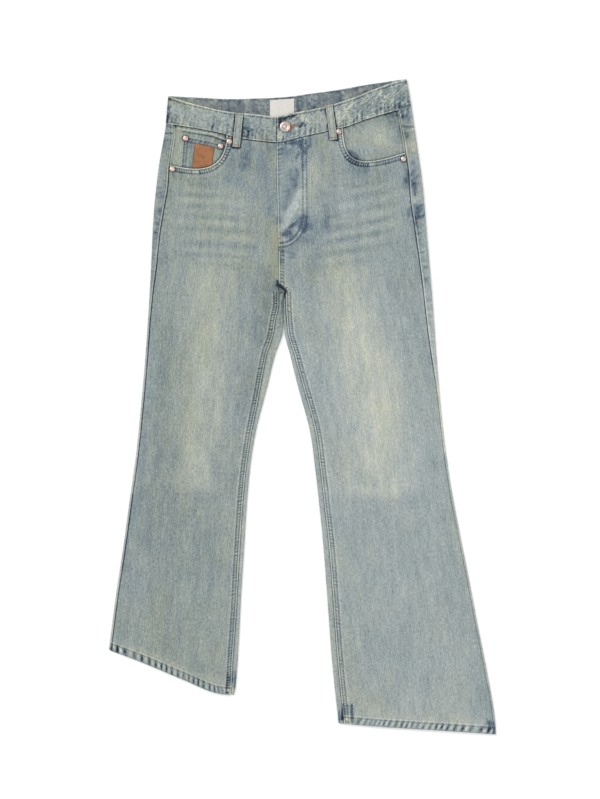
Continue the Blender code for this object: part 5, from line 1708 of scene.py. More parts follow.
# %% Sweep the band
def sweep_band():
    """The waistband's shell: outer face, fold, lining and lower edge."""
    along = length_of(band_path[:, [0, 1, 4]])
    stations, count = len(band_path), len(RING)
    top = band_path[:, [0, 1, 4]][:, None]
    bottom = band_path[:, [2, 3, 4]][:, None]
    turn = np.radians(band_path[:, 5])
    normal = np.stack([np.cos(turn), 0 * turn, np.sin(turn)], axis=1)[:, None]
    share = np.broadcast_to(RING[:, 0], (stations, count))
    depth, face = RING[:, 1], RING[:, 2]
    back = (band_path[:, 5] < -80).astype(float)[:, None]
    place = bottom + (top - bottom) * share[..., None]
    lift, change = band_relief(along[:, None], place, share, back)
    lift = lift * (face == 1) * (1 - back)
    points = place + normal * (depth + lift)[..., None]
    flat = points.reshape(-1, 3)[:, :2]
    shown = np.broadcast_to(ramp(1 + np.sin(turn))[:, None], (stations, count))
    loops = loop_indigo_and_shadow(flat).reshape(stations, count) * shown
    wash, tint = (v.reshape(stations, count) for v in wash_at("left", flat, shown.ravel()))
    wash = 0.57 + 0.3 * (wash - 0.5) + (change - loops) * (face != -1)
    inner = (face == -1)
    from_top = (1 - share) * BAND_HEIGHT
    lining = 0.32 + 0.12 * noise(along[:, None], share * 40, 4, 12, 3)
    lining = lining + 0.30 * (crinkle(along[:, None], share * 40, 6, 5, seed=19) - 0.3)
    lining = lining - 0.06 * ramp((4.5 - from_top) / 1.5) + 0.07 * bump((from_top - 7.0) / 1.4)
    wash = np.where(inner, lining, wash)
    lining_tint = np.interp(points[..., 0], [-210, -150, 0, 60, 160],
                            [1.6, 0.9, 0.45, 0.5, 1.3])
    tint = np.where(inner, lining_tint, tint + 0.22)
    rust = rust_at(flat).reshape(stations, count) * (face == 1) * (1 - back)
    rust = np.where(inner, 0.05, rust)
    masks = {m: np.append(v.ravel(), [v.mean()] * 2)
             for m, v in marked(wash, tint, rust).items()}
    return cloth("waistband_cloth", with_middles(points), tube(stations, count), DENIM_TRIM,
                 masks)


pieces["waistband"] = sweep_band()

# %% [markdown]
# ## Fly, pocket facings and coin pocket
#
# The fly is not a patch: it is a second layer that shows through the front as a raised
# J, with its edge stitched down. So its shell is thick at the centre front, where the
# cloth is folded, and thins out to nothing beyond the stitches. The facings lie lower,
# inside the pocket mouths, and the coin pocket and its leather tab lie on the right one.

# %% Edges of the fly
def fly_edges():
    """The named edges of the fly, in order round it."""
    centre = centre_line("left", FLY_BOTTOM, cloth_top(CENTRE_TOP[1]))
    turn = np.radians(np.linspace(-90, 0, 30))
    curve = np.stack([centre[0, 0] + FLY_WIDTH * (0.1 + 0.9 * np.cos(turn)),
                      FLY_BOTTOM + FLY_TURN + FLY_TURN * np.sin(turn)], axis=1)
    x_top = centre[0, 0] + FLY_WIDTH
    edge = np.linspace(curve[-1], (x_top - 1.0, cloth_top(x_top)), 30)
    return {"fold": centre[::-1], "curve": np.vstack([centre[0], curve, edge[1:]]),
            "waist": waist_line(edge[-1, 0], centre[-1, 0])}


FLY = fly_edges()
FLY_ROWS = (1.1, 7.6)          # stitch rows, from the curved edge
print("round the fly's curve:", round(length_of(FLY["curve"])[-1]), "mm")


# %% Relief of the fly
def fly_relief(points):
    """(height, masks) of the fly's upper face."""
    height, masks = front_relief("left", points)
    across, up = points.T
    to_fold, down = follow(points, FLY["fold"])
    to_curve, round_it = follow(points, FLY["curve"])
    to_waist, _ = follow(points, FLY["waist"])
    thick = 0.15 + (FLY_WALL - 0.15) * ramp(to_curve / 3.0)
    ripple = rope(round_it + 0.4 * to_curve, 6.2, 21)
    on_ripple = bump((to_curve - 5.6) / 3.6)
    ladder = rope(down + 0.2 * to_fold, 8.4, 22)
    on_ladder = ramp((14 - to_fold) / 7) * (0.15 + 0.85 * ramp((up - 372) / 36))
    height += GAP + thick - rounded(to_fold, 0.8) - 0.5 * rounded(to_waist)
    height += 0.30 * ripple * on_ripple + 0.34 * ladder * on_ladder
    for row in FLY_ROWS:
        height -= 0.28 * bump((to_curve - row) / 0.7)
    wash = masks["wash"] + 0.10 * ripple * on_ripple
    wash += (0.20 * np.clip(ladder, 0, 1) - 0.16 * np.clip(-ladder, 0, 1)) * on_ladder
    wash += 0.52 * bump(to_fold / 1.2) - 0.30 * bump((to_fold - 2.6) / 0.9)
    dots = 0.35 + 0.65 * np.clip(1.3 * rope(round_it, 4.6, 25, 0.6), 0, 1)
    for row in FLY_ROWS:
        wash -= (0.46 + 0.20 * ramp((316 - up) / 16)) * dots * bump((to_curve - row) / 1.6)
    crumpled = (crinkle(across, up, 5, 4.5, seed=26) - 0.3) * ramp((up - 404) / 22)
    crumpled = crumpled * bump((across - 3) / 14)
    height += 0.35 * crumpled
    wash += 0.52 * crumpled
    wash += (0.10 + 0.05 * ramp((316 - up) / 16)) * bump((to_curve - 4.3) / 1.6) + 0.05
    wash += 0.12 * bump((to_curve - 13.0) / 3.0) * ramp((330 - up) / 20)
    streak, down_it = follow(points, np.array([(-2.0, 358.0), (-16, 330), (-33, 294)]))
    wide = 7.0 + 3 * bump((down_it - 36) / 22)
    wash += 0.21 * ramp((wide - streak) / 4.5) * (1 + 0.3 * noise(across, up, 6, 9, seed=23))
    shadow, _ = follow(points, np.array([(-8.0, 388.0), (-30.0, 330.0)]))
    wash -= 0.15 * bump(shadow / 7.0) * (1 + 0.5 * noise(across, up, 6, 9, seed=24))
    wash = np.maximum(wash, 0.10)
    return height, marked(wash, masks["tint"], masks["rust"])


pieces["fly"] = plate(
    "fly_cloth", FLY.values(), fly_relief,
    plain(lambda points: front_relief("left", points)[0] + 0.12),
    DENIM_BODY, spacing=1.35, step=1.35)


# %% Pocket facings
def facing_edges(side):
    """The named edges of a facing, which runs on a little under the front."""
    sign = INWARD[side]
    hidden = shifted(bezier(MOUTH[side], 14), sign * FACING_OVERLAP)
    hidden = hidden[hidden[:, 1] < smooth(WAIST_SEAM, hidden[:, 0]) - 4]
    hidden = hidden[sign * (hidden[:, 0] - side_seam(side, hidden[:, 1])) > 4]
    foot = MOUTH[side][3][1] - FACING_OVERLAP
    at_side = stretch(SIDE_LINE[side], foot, cloth_top(SIDE_LINE[side][0, 0]))
    waist = waist_line(at_side[-1, 0], hidden[0, 0])
    return {"waist": waist, "down": np.vstack([waist[-1], hidden[0]]), "hidden": hidden,
            "foot": np.vstack([hidden[-1], at_side[0]]), "side": at_side}


FACING_EDGES = {side: facing_edges(side) for side in INWARD}


def facing_relief(side, points):
    """(height, masks) of a facing's upper face."""
    height = facing_height(side, points)
    across, up = points.T
    wash, tint = wash_at(side, points)
    to_side, _ = follow(points, FACING_EDGES[side]["side"])
    to_waist, along = follow(points, FACING_EDGES[side]["waist"])
    to_mouth, _ = follow(points, EDGES[side]["mouth"])
    pulled = rope(along + 0.3 * to_waist, 8.0, 31) * np.exp(-to_waist / 16)
    height += 0.45 * pulled - rounded(to_side, 0.6)
    height += 0.25 * noise(across, up, 18, layers=3, seed=32) * ramp(to_side / 10)
    height -= 0.5 * ramp((6 - to_mouth) / 6)
    wash += 0.09 * pulled + 0.12 + 0.26 * bump((to_side - 1.2) / 0.9)
    wash -= 0.34 * bump((to_side - 3.2) / 0.9) + 0.3 * bump(to_side / 0.5)
    # Painted shade under the edge of the pocket mouth and under the waistband.
    wash -= 0.22 * ramp((4 - to_mouth) / 4) + 0.10 * np.exp(-to_mouth / 10)
    wash -= 0.30 * bump(to_waist / 1.2) + 0.25 * np.exp(-to_waist / 10)
    return height, marked(wash, tint + 0.4, rust_at(points))


for side in INWARD:
    pieces["pocket_facing_" + side] = plate(
        f"pocket_facing_{side}_cloth", FACING_EDGES[side].values(),
        lambda points, side=side: facing_relief(side, points),
        plain(lambda points, side=side: facing_height(side, points) - FACING),
        DENIM_BODY, spacing=1.6, grain=GRAIN[side])


# %% Coin pocket
def tucked_edges(top, feet):
    """A piece that slips under the front's edge at the pocket mouth."""
    (x0, y0), (x1, y1) = top
    edge = shifted(mouth_line("right", 120), -0.9)
    below_top = edge[:, 1] < np.interp(edge[:, 0], (x0, x1), (y0, y1)) - 3
    shown = edge[(edge[:, 0] > feet[0]) & (edge[:, 0] < feet[1]) & below_top]
    upper_edge = np.array(top, float)
    return {"top": upper_edge, "inner": np.vstack([upper_edge[1], shown[0]]),
            "tucked": shown, "outer": np.vstack([shown[-1], upper_edge[0]])}


COIN = tucked_edges(COIN_TOP, (COIN_FOOT, -127.5))


def coin_relief(points):
    """(height, masks) of the coin pocket's upper face."""
    height = facing_height("right", points) + GAP + COIN_WALL
    across, up = points.T
    wash, tint = wash_at("right", points)
    to_top, along = follow(points, COIN["top"])
    to_outer, down = follow(points, COIN["outer"])
    to_mouth, _ = follow(points, COIN["tucked"])
    ripple = rope(along + 0.3 * to_top, 5.2, 41)
    side_ripple = rope(down, 6.0, 42)
    on_top, on_side = ramp((9 - to_top) / 3), ramp((8 - to_outer) / 3)
    still = calm(points)
    height += (0.20 * ripple * on_top + 0.14 * side_ripple * on_side) * still
    height -= 0.22 * (bump((to_top - 1.8) / 0.8) + bump((to_top - 7) / 0.8))
    height -= rounded(np.minimum(to_top, to_outer), 0.6)
    height += 0.2 * noise(across, up, 12, layers=3, seed=43)
    wash += 0.16 * ripple * on_top + 0.14 * side_ripple * on_side - 0.05
    wash += 0.40 * bump(to_top / 1.1) + 0.36 * bump(to_outer / 1.1)
    wash -= 0.36 * bump((to_top - 2.4) / 0.9) + 0.26 * bump((to_top - 8.2) / 1.1)
    wash -= 0.40 * bump((to_outer - 2.6) / 0.9) + 0.30 * bump((to_outer - 7.4) / 1.0)
    # Painted shade where the pocket slips under the mouth's edge.
    wash -= 0.24 * ramp((4 - to_mouth) / 4)
    return height, marked(wash, tint, rust_at(points))


pieces["coin_pocket"] = plate(
    "coin_pocket_cloth", COIN.values(), coin_relief,
    plain(lambda points: facing_height("right", points) + GAP),
    DENIM_TRIM, spacing=1.5, grain=GRAIN["right"], step=1.2)

# %% [markdown]
# ## Leather tab and woven label
#
# The tab is vegetable-tanned leather, smooth on the grain side with fine pores, a little
# darker where its edge was burnished. The label in the waist is a plain white tape. Both
# are left blank. Leather gets its own material: a cellular bump for the grain and a slow
# change of brown, because even a new hide is never one colour.

# %% Leather
leather, tree, shader = new_finish("tan_leather", Roughness=0.62, Specular_IOR_Level=0.3)
leather_map = map_of(tree)
pores = add(tree, "ShaderNodeTexVoronoi", Scale=1.0)
tree.links.new(stretched(tree, leather_map, 0.9, 0.9), pores.inputs["Vector"])
hide = noise_node(tree, stretched(tree, leather_map, 9, 9), 4.0, 0.6)
shade = math_node(tree, "MULTIPLY_ADD", hide, 0.7,
                  math_node(tree, "SUBTRACT", number_of(tree, "wash"), 0.35), clamp=True)
brown = ramp_node(tree, shade, [(0.0, linear(96, 58, 38)), (0.45, linear(154, 104, 67)),
                                (1.0, linear(172, 122, 82))])
tree.links.new(brown, shader.inputs["Base Color"])
bumped(tree, shader, pores.outputs["Distance"], 0.35, 0.2)
print("leather:", len(tree.nodes), "nodes")

# %% The tab
PATCH = tucked_edges(PATCH_TOP, PATCH_FEET)


def patch_relief(points):
    """(height, masks) of the tab's upper face, with a burnished edge."""
    across, up = points.T
    height = facing_height("right", points) + COIN_WALL + 2 * GAP + PATCH_WALL
    to_edge, _ = follow(points, looped(np.vstack([*PATCH.values()])))
    height += 0.18 * noise(across, up, 10, layers=3, seed=51) - rounded(to_edge, 0.4)
    wash = 0.5 + 0.12 * noise(across, up, 14, seed=52) - 0.45 * bump(to_edge / 0.9)
    to_mouth, _ = follow(points, PATCH["tucked"])
    # Painted shade where the tab slips under the mouth's edge.
    wash -= 0.15 * ramp((3 - to_mouth) / 3)
    return height, marked(wash, wash)


pieces["leather_patch"] = plate(
    "leather_patch_hide", PATCH.values(), patch_relief,
    plain(lambda points: facing_height("right", points) + COIN_WALL + 2 * GAP),
    leather, spacing=1.6, step=1.2)

# %% Woven label
tape, tree, shader = new_finish("white_tape", Roughness=0.75, Sheen_Weight=0.2)
ribs = noise_node(tree, stretched(tree, map_of(tree), 6.0, 0.5), 1.0)
tree.links.new(ramp_node(tree, ribs, [(0.3, linear(202, 199, 193)),
                                      (0.7, linear(221, 218, 212))]),
               shader.inputs["Base Color"])
bumped(tree, shader, ribs, 0.3, 0.15)

left, right = LABEL_ACROSS
label_top = [(x, float(smooth(BAND_TOP_BACK, x)) - LABEL_DROP) for x in (left, right)]
label_low = [(x, y - LABEL_HEIGHT) for x, y in label_top[::-1]]
label_corners = [*label_top, *label_low]
label_sides = [segment(*a, *b) for a, b in
               zip(label_corners, label_corners[1:] + label_corners[:1])]
label_z = SEAT_LIFT + BAND_WALL + GAP


def label_relief(points):
    """(height, masks) of the label, which two creases cross."""
    across, up = points.T
    height = label_z + LABEL_WALL + 0.18 * noise(across, up, 14, seed=61)
    height += 0.30 * crinkle(across, up, 16, 12, seed=62) - 0.10
    height += 0.55 * bump((across + 27 + 0.1 * (up - 495)) / 4) + 0.4 * bump((across + 44) / 4)
    even = np.full(len(points), 0.5)
    return height, marked(even, even)


pieces["waist_label"] = plate("waist_label_tape", label_sides, label_relief,
                              plain(lambda points: np.full(len(points), label_z)),
                              tape, spacing=2.0)


# %% [markdown]
# ## Belt loops and back pockets
#
# A belt loop is a narrow strip with both raw edges folded to the middle of its back, so
# it is thick, springy and rounded at its sides. It arches over the waistband and is held
# by a dense bar of stitches at each end. The section is a closed ring again, swept along
# the arch. The back pockets and three more loops lie underneath.

# %% Front belt loops
def front_strap(side):
    """The loop's middle line: (across, up, height of its underside)."""
    start, end = (np.array(p, float) for p in FRONT_LOOPS[side])
    on_band = float(band_height(side, start[0])) + 1.6 * GAP
    on_panel = float(front_height(side, end[None])[0]) + 1.6 * GAP
    high = max(on_panel, on_band)
    rows = []
    for share in np.linspace(0, 1, 60):
        x, y = start + (end - start) * share
        past_seam = ramp((smooth(WAIST_SEAM, x) + 3.5 - y) / 10)
        arch = 0.9 * math.sin(math.pi * min(share / 0.75, 1.0))
        rows.append((x, y, high + arch + past_seam * (on_panel + 0.25 - high)))
    return np.array(rows)


def strap(name, line, width, wall, finish):
    """A folded strip along a line, with rounded edges and a groove beside each of them."""
    half = width / 2
    places = [-half, -half + 0.15, -half + 0.5, *np.linspace(-half + 1.1, half - 1.1, 11),
              half - 0.5, half - 0.15, half]
    top = [(p, wall - rounded(np.array(half - abs(p)), 0.55)
            - 0.22 * bump((half - abs(p) - 2.0) / 0.7)) for p in places]
    ring = np.array([*top, (half - 0.2, 0.0), (0.0, 0.0), (-half + 0.2, 0.0)])
    sideways = shifted(line[:, :2], 1.0) - line[:, :2]
    plan = line[:, None, :2] + sideways[:, None] * ring[None, :, :1]
    along = length_of(line[:, :2])[:, None]
    uneven = 0.10 * noise(along, ring[None, :, 0], 6.0, 6.0, 2, seed=71)
    tops = (ring[None, :, 1] > 0.1)
    end = np.minimum(along, along[-1] - along)
    drop = rounded(end, 0.7) * tops
    height = line[:, 2][:, None] + ring[None, :, 1] + uneven * tops - drop
    points = np.dstack([plan, np.broadcast_to(height, plan.shape[:2])])
    edge = half - abs(ring[None, :, 0])
    wash = 0.58 + 0.9 * uneven + 0.22 * bump(edge / 0.7) - 0.30 * bump((edge - 2.2) / 0.9)
    wash = wash + 0.14 * bump(end / 1.5)
    wash = np.append(wash.ravel(), [0.4, 0.4])
    return cloth(name, with_middles(points), tube(*points.shape[:2]), finish,
                 marked(wash, wash * 0 + 0.8))


for side in INWARD:
    pieces["belt_loop_front_" + side] = strap(
        f"belt_loop_front_{side}_cloth", front_strap(side), LOOP_WIDTH, LOOP_WALL, DENIM_TRIM)

# %% Loops and pockets underneath
for place, x in BACK_LOOPS.items():
    top = float(smooth(BAND_TOP_BACK, x)) - 1.0
    rows = [(x, y, 0.0) for y in np.linspace(top, top - BAND_HEIGHT - 12.0, 24)]
    pieces["belt_loop_back_" + place] = strap(
        f"belt_loop_back_{place}_cloth", np.array(rows), LOOP_WIDTH, LOOP_WALL, DENIM_TRIM)

for side, x in BACK_POCKETS.items():
    shape = np.array(POCKET_SHAPE, float) + (x, 0)
    sides = [segment(*a, *b) for a, b in zip(shape, np.roll(shape, -1, axis=0))]

    def pocket_under(points, shape=shape):
        to_edge, along = follow(points, looped(shape))
        wash, tint = wash_at("left", points, 0.0)
        wash = 0.55 + 0.4 * (wash - 0.55) + 0.25 * bump(to_edge / 1.5)
        wash += 0.15 * noise(along, to_edge, 5, 12) * ramp((8 - to_edge) / 3)
        return 0.0 * to_edge, marked(wash, tint)

    pieces["back_pocket_" + side] = plate(
        f"back_pocket_{side}_cloth", sides,
        lambda points, low=pocket_under: (1.2 + 0 * points[:, 0], low(points)[1]),
        pocket_under, DENIM_BODY, spacing=4.0)


# %% [markdown]
# ## Metal
#
# Rivets clamp the pocket corners and a shank button closes the waist. Both are turned
# shapes, so a profile is spun round an axis. The metal is a pale rose alloy: fully
# metallic, fairly smooth, with a fine unevenness in the roughness that stops it looking
# like chrome.

# %% Rose metal
def rose_metal(name, colour, roughness):
    """A pale rose alloy with fine dull spots."""
    finish, tree, shader = new_finish(name, Metallic=1.0)
    place = tree.nodes.new("ShaderNodeTexCoord").outputs["Object"]
    spots = add(tree, "ShaderNodeTexNoise", Scale=900.0, Detail=3.0)
    tree.links.new(place, spots.inputs["Vector"])
    rough = math_node(tree, "MULTIPLY_ADD", spots.outputs[0], 0.18, roughness - 0.09)
    tree.links.new(rough, shader.inputs["Roughness"])
    darker = tuple(c * 0.8 for c in colour[:3]) + (1.0,)
    tone = ramp_node(tree, spots.outputs[0], [(0.35, darker), (0.6, colour)])
    tree.links.new(tone, shader.inputs["Base Color"])
    return finish


PALE_METAL = rose_metal("pale_rose_metal", linear(228, 210, 205), 0.32)
GOLD_METAL = rose_metal("pale_gold_metal", linear(240, 228, 210), 0.36)
# Darker copies of the rose metal, painted as shade into the button's grooves and its dish.
GROOVE_SHADE_METAL = rose_metal("groove_shade_metal", linear(150, 130, 128), 0.52)
DISH_SHADE_METAL = rose_metal("dish_shade_metal", linear(196, 172, 168), 0.50)
COPPER_METAL = rose_metal("copper_metal", linear(196, 140, 112), 0.38)


def turned(name, profile, at, finishes, steps=48):
    """A turned piece from (radius, height, finish number) rows, standing on a point."""
    turn = np.linspace(0, 2 * np.pi, steps, endpoint=False)
    rings = np.array([[(r * math.cos(t), r * math.sin(t), z) for t in turn]
                      for r, z, _ in profile[1:-1]])
    count = len(rings)
    points = np.vstack([rings.reshape(-1, 3), (0, 0, profile[0][1]), (0, 0, profile[-1][1])])
    faces = [face for group in tube(count, steps) for face in group.tolist()]
    kinds = [int(profile[i + 1][2]) for i in range(count - 1) for _ in range(steps)]
    kinds += [int(profile[0][2])] * steps + [int(profile[-1][2])] * steps
    mesh = bpy.data.meshes.new(name)
    mesh.from_pydata(((points + at) * MM).tolist(), [], faces)
    for finish in finishes:
        mesh.materials.append(finish)
    mesh.polygons.foreach_set("material_index", kinds)
    return placed(name, mesh, 40)


print("metals:", [m.name for m in bpy.data.materials if m.name.endswith("metal")])


# %% Button and rivets
def seat_of(node):
    """The middle of a node's lowest face, in millimetres."""
    low, high = (np.array(corner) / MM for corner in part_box(node))
    return np.array([(low[0] + high[0]) / 2, (low[1] + high[1]) / 2, low[2]])


BUTTON_PROFILE = [     # radius, height, finish
    (0, 0, 1), (4.2, 0, 1), (4.5, 1.2, 1), (7.6, 1.35, 1), (8.3, 1.7, 1), (8.5, 2.1, 1),
    (8.42, 2.6, 3), (8.1, 2.95, 3), (7.6, 3.12, 3), (7.1, 3.05, 2), (6.7, 2.75, 0),
    (6.3, 2.8, 0), (5.6, 2.95, 0), (5.0, 2.8, 4), (4.4, 2.5, 4), (3.4, 2.4, 4),
    (2.7, 2.5, 2), (2.4, 2.75, 0), (2.0, 3.2, 0), (1.4, 3.48, 0), (0.7, 3.58, 0), (0, 3.6, 0),
]
RIVET_PROFILE = [
    (0, 0, 1), (3.9, 0, 1), (4.15, 0.15, 1), (4.2, 0.4, 1), (3.95, 0.75, 0), (3.4, 0.98, 0),
    (2.8, 1.02, 0), (2.3, 0.92, 1), (1.9, 1.0, 0), (1.6, 1.35, 0), (1.1, 1.58, 0), (0, 1.65, 0),
]
pieces["waist_button"] = turned("waist_button_metal", BUTTON_PROFILE,
                                seat_of("waist_button"),
                                (PALE_METAL, COPPER_METAL, GROOVE_SHADE_METAL, GOLD_METAL,
                                 DISH_SHADE_METAL), 64)
for place in RIVETS:
    rim = PALE_METAL if place == "mouth_left_side" else COPPER_METAL
    pieces["rivet_" + place] = turned(f"rivet_{place}_metal", RIVET_PROFILE,
                                      seat_of("rivet_" + place), (PALE_METAL, rim))
print("metal pieces:", 1 + len(RIVETS))

# %% [markdown]
# ## Thread
#
# Topstitching is what makes jeans look like jeans. Each stitch is a short stretch of
# thick thread that dives into the cloth at both ends. One low capsule is modelled once
# and copied to every place along a seam, in one mesh for each region, which is far
# lighter than thousands of objects. The thread has faded with the cloth to a dull sand.

# %% Thread material
def thread(name, pale, dark):
    """Cotton thread, from pale to dark from stitch to stitch."""
    finish, tree, shader = new_finish(name, Roughness=0.8, Specular_IOR_Level=0.2)
    number = number_of(tree, "wash")
    tree.links.new(ramp_node(tree, number, [(0.0, dark), (1.0, pale)]),
                   shader.inputs["Base Color"])
    return finish


SAND_THREAD = thread("sand_thread", linear(206, 201, 188), linear(150, 145, 132))
RUST_THREAD = thread("rust_thread", linear(190, 154, 118), linear(140, 106, 78))
BROWN_THREAD = thread("faded_brown_thread", linear(176, 160, 130), linear(128, 112, 88))
# The fly's thread is a darker blue-grey.
BLUE_THREAD = thread("dark_blue_grey_thread", linear(142, 148, 148), linear(76, 88, 98))
print("threads:", [m.name for m in (SAND_THREAD, RUST_THREAD, BROWN_THREAD, BLUE_THREAD)])


# %% One stitch, many times
def capsule(length, width, sides=6):
    """Points and faces of a stitch along X that dips at both ends."""
    t = np.linspace(-0.5, 0.5, 6)
    swell = np.sqrt(np.clip(1 - (2 * t) ** 4, 0.06, 1))
    dip = -0.42 * width * (2 * np.abs(t)) ** 3
    turn = np.linspace(0, 2 * np.pi, sides, endpoint=False)
    rings = np.array([[(length * a, width / 2 * s * math.cos(b),
                        width / 2 * s * math.sin(b) + d) for b in turn]
                      for a, s, d in zip(t, swell, dip)])
    caps = np.stack([np.arange(sides), np.arange(sides) + 5 * sides])
    return rings.reshape(-1, 3), tube(6, sides)[0], caps


def sew(name, runs, finish, length=2.5, width=0.75):
    """Stitches at (place, direction) runs of points with heights, joined in one mesh."""
    rng = np.random.default_rng(len(name))
    places = np.vstack([run[0] for run in runs])
    directions = np.vstack([run[1] for run in runs])
    directions = directions / np.linalg.norm(directions, axis=1)[:, None]
    across = np.stack([-directions[:, 1], directions[:, 0], 0 * directions[:, 0]], axis=1)
    across /= np.linalg.norm(across, axis=1)[:, None]
    upward = np.cross(directions, across)
    shape, quads, caps = capsule(length, width)
    scale = 1 + 0.14 * rng.standard_normal((len(places), 1, 1))
    points = (places[:, None] + shape[None, :, :1] * scale * directions[:, None]
              + shape[None, :, 1:2] * across[:, None] + shape[None, :, 2:] * upward[:, None])
    start = (np.arange(len(places)) * len(shape))[:, None, None]
    faces = [(start + quads[None]).reshape(-1, 4), (start + caps[None]).reshape(-1, 6)]
    tone = np.repeat(np.clip(0.5 + 0.28 * rng.standard_normal(len(places)), 0, 1), len(shape))
    return cloth(name, points.reshape(-1, 3), faces, finish, {"wash": tone}, sharp=80)


print("stitch:", len(capsule(2.5, 0.75)[0]), "points")


# %% Where stitches go
def run_along(line, height, pitch=3.3, sink=0.05, start=0.0):
    """Places and directions of stitches along a flat line, on a height function."""
    along = length_of(line)
    places = np.arange(start + pitch / 2, along[-1], pitch)
    flat = np.stack([np.interp(places, along, column) for column in line.T], axis=1)
    ahead = np.stack([np.interp(places + 0.6, along, column) for column in line.T], axis=1)
    behind = np.stack([np.interp(places - 0.6, along, column) for column in line.T], axis=1)
    low, high = height(behind), height(ahead)
    spot = np.column_stack([flat, height(flat) - sink])
    return spot, np.column_stack([ahead - behind, 0.5 * (high - low)])


def bar_tack(middle, direction, width, height, count=9):
    """A dense bar of stitches across a line."""
    direction = np.array(direction, float) / np.linalg.norm(direction)
    sideways = np.array([-direction[1], direction[0]])
    places = np.array(middle) + sideways * np.linspace(-width / 2, width / 2, count)[:, None]
    spot = np.column_stack([places, height(places) + 0.12])
    return spot, np.column_stack([np.tile(direction, (count, 1)), np.zeros(count)])


dash = run_along(segment(0, 0, 20, 0), lambda points: 0 * points[:, 0])
print("stitches in 20 mm:", len(dash[0]))

# %% Seams of the fronts
runs = []
for side in INWARD:
    def on_front(points, side=side):
        return front_relief(side, points)[0]

    for seam, (_, _, offsets, *_) in SEWN.items():
        for offset in offsets if seam in LINES[side] else ():
            runs.append(run_along(shifted(LINES[side][seam], INWARD[side] * offset), on_front))
front_thread = sew("front_seams_thread", runs, SAND_THREAD, 2.0, 0.68)

# %% Seams of the fly
def on_fly(points):
    return fly_relief(points)[0]


runs = [run_along(shifted(FLY["curve"], row), on_fly) for row in FLY_ROWS]
for across in (11.0, 15.5):
    runs.append(run_along(segment(across, 400, across - 1, 326),
                          lambda points: front_relief("left", points)[0], 3.6))
fly_thread = sew("fly_seams_thread", runs, BLUE_THREAD)


# %% Seams of the waistband and the coin pocket
def band_surface(side):
    """The front band's upper face as a height function."""
    path = np.array(band_stations(side))[:, [0, 1, 4]]
    order = np.argsort(path[:, 0])

    def height(points):
        return np.interp(points[:, 0], path[order, 0], path[order, 2])
    return height


runs = []
for side in INWARD:
    stations = np.array(band_stations(side))
    stations = stations[stations[:, 5] == 90]
    for share in (2.2 / BAND_HEIGHT, 1 - 3.0 / BAND_HEIGHT):
        line = stations[:, 2:4] + (stations[:, :2] - stations[:, 2:4]) * share
        runs.append(run_along(line, band_surface(side)))
for edge, offsets in (("top", (-1.8, -7.0)), ("outer", (-1.6, -6.2))):
    for offset in offsets:
        runs.append(run_along(shifted(resampled(COIN[edge], 2.0), offset),
                              lambda points: coin_relief(points)[0]))
trim_thread = sew("trim_seams_thread", runs, SAND_THREAD)

# %% Loops and bar tacks
runs, tacks = [], []
for side in INWARD:
    line = front_strap(side)

    def on_loop(points, line=line):
        order = np.argsort(line[:, 1])
        return np.interp(points[:, 1], line[order, 1], line[order, 2]) + LOOP_WALL

    for offset in (-4.0, 4.0):
        runs.append(run_along(shifted(line[2:-2, :2], offset), on_loop, 2.9, 0.12))
    for share in (3, -4):
        middle = line[share, :2]
        tacks.append(bar_tack(middle, line[-1, :2] - line[0, :2], 9.5, on_loop, 14))
loop_thread = sew("belt_loop_thread", runs, SAND_THREAD, 2.3, 0.7)

tack_thread = sew("loop_tack_thread", tacks, BROWN_THREAD, 2.4, 0.6)
tacks = [bar_tack((-37.5, 279), (0, 1), 4.0, on_fly, 6),
         bar_tack((191.2, 308.2), (1, 0.3), 5.5,
                  lambda p: front_height("left", p) + SIDE_RIDGE, 8)]
rust_tacks = sew("rust_tack_thread", tacks, RUST_THREAD, 2.6, 0.7)

# %% [markdown]
# The buttonhole is a slit with a round eye, bound by stitches that stand across its
# edge. The button hides most of it; the bound end shows beside the button.

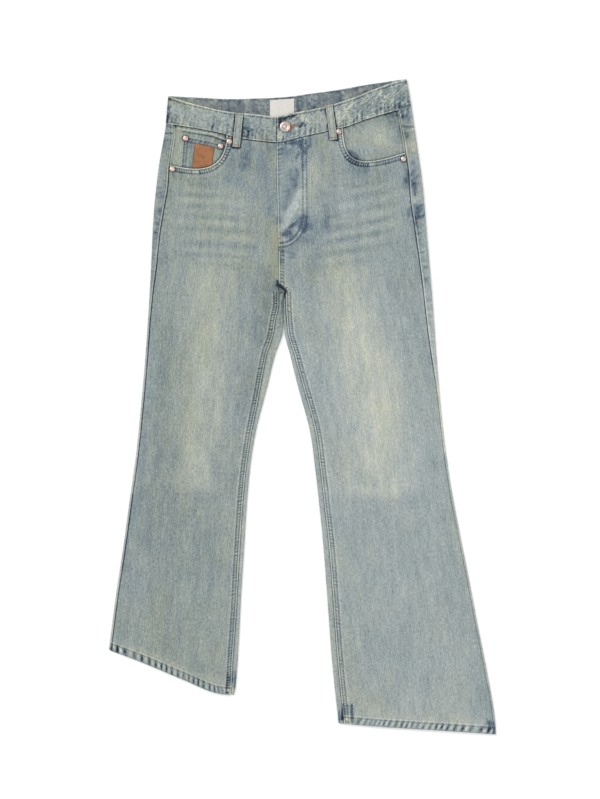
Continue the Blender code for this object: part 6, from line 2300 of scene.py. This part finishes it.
# %% Buttonhole
slit = resampled(segment(-26, 464.6, -8.5, 466.2), 1.0)
around = []
for offset in (-1.6, 1.6):
    line = shifted(slit, offset)
    spot, along = run_along(line, band_surface("left"), 0.95, -0.25)
    around.append((spot, np.column_stack([-along[:, 1], along[:, 0], 0 * along[:, 0]])))
for turn in np.radians(np.linspace(-80, 80, 9)):
    direction = np.array([math.cos(turn), math.sin(turn)])
    spot = slit[-1] + 1.7 * direction
    z = float(band_surface("left")(spot[None])[0]) + 0.25
    around.append((np.array([[*spot, z]]), np.array([[*direction, 0.0]])))
hole_thread = sew("buttonhole_thread", around, RUST_THREAD, 2.4, 0.55)

# %% [markdown]
# ## Solids and sheet sizes
#
# Every shell now takes its solid's place, which is hidden, and each cloth piece gets the
# size of the sheet it was cut to.

# %% Replace the solids
for node, piece in pieces.items():
    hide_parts(node)
SLOTS = {s["node"]: s["material_slot"] for s in frame["record"]["subparts"]}
print("replaced:", len(pieces), "solids")

WITH = {"front_left": [front_thread], "waistband": [trim_thread, hole_thread],
        "belt_loop_front_left": [loop_thread, tack_thread], "fly": [fly_thread, rust_tacks]}
WAIST_ROUND = 0.83         # metres round the band
BAND_EASE = 1.08           # the band's puckers take up this much of its height
STRIPS = 0.03              # metres of a back that turn up round the edges
LEAST_MARGIN = 1.02        # a sheet is at least this much longer than its area asks


def cut_size(piece):
    """(width, length, area) of a piece laid flat, in metres: half of its closed surface."""
    mesh = piece.data
    areas = np.empty(len(mesh.polygons))
    mesh.polygons.foreach_get("area", areas)
    low, high = (np.array(piece.bound_box).min(axis=0), np.array(piece.bound_box).max(axis=0))
    width, length = (high - low)[:2]
    return float(width), float(length), float(areas.sum() / 2)


sheets = {}
for node, piece in pieces.items():
    if SLOTS[node].endswith("metal"):
        continue
    width, length, area = cut_size(piece)
    if node == "waistband":
        width, length = BAND_HEIGHT * MM * BAND_EASE, WAIST_ROUND
    elif node.startswith(("back_right", "back_left", "yoke")):
        width += STRIPS
    if area > width * length:
        width = LEAST_MARGIN * area / length
    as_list(WITH.get(node, ()))
    sheets[node] = (round(width, 3), round(length, 3), round(area, 4))
for node, numbers in sheets.items():
    print(node, numbers)
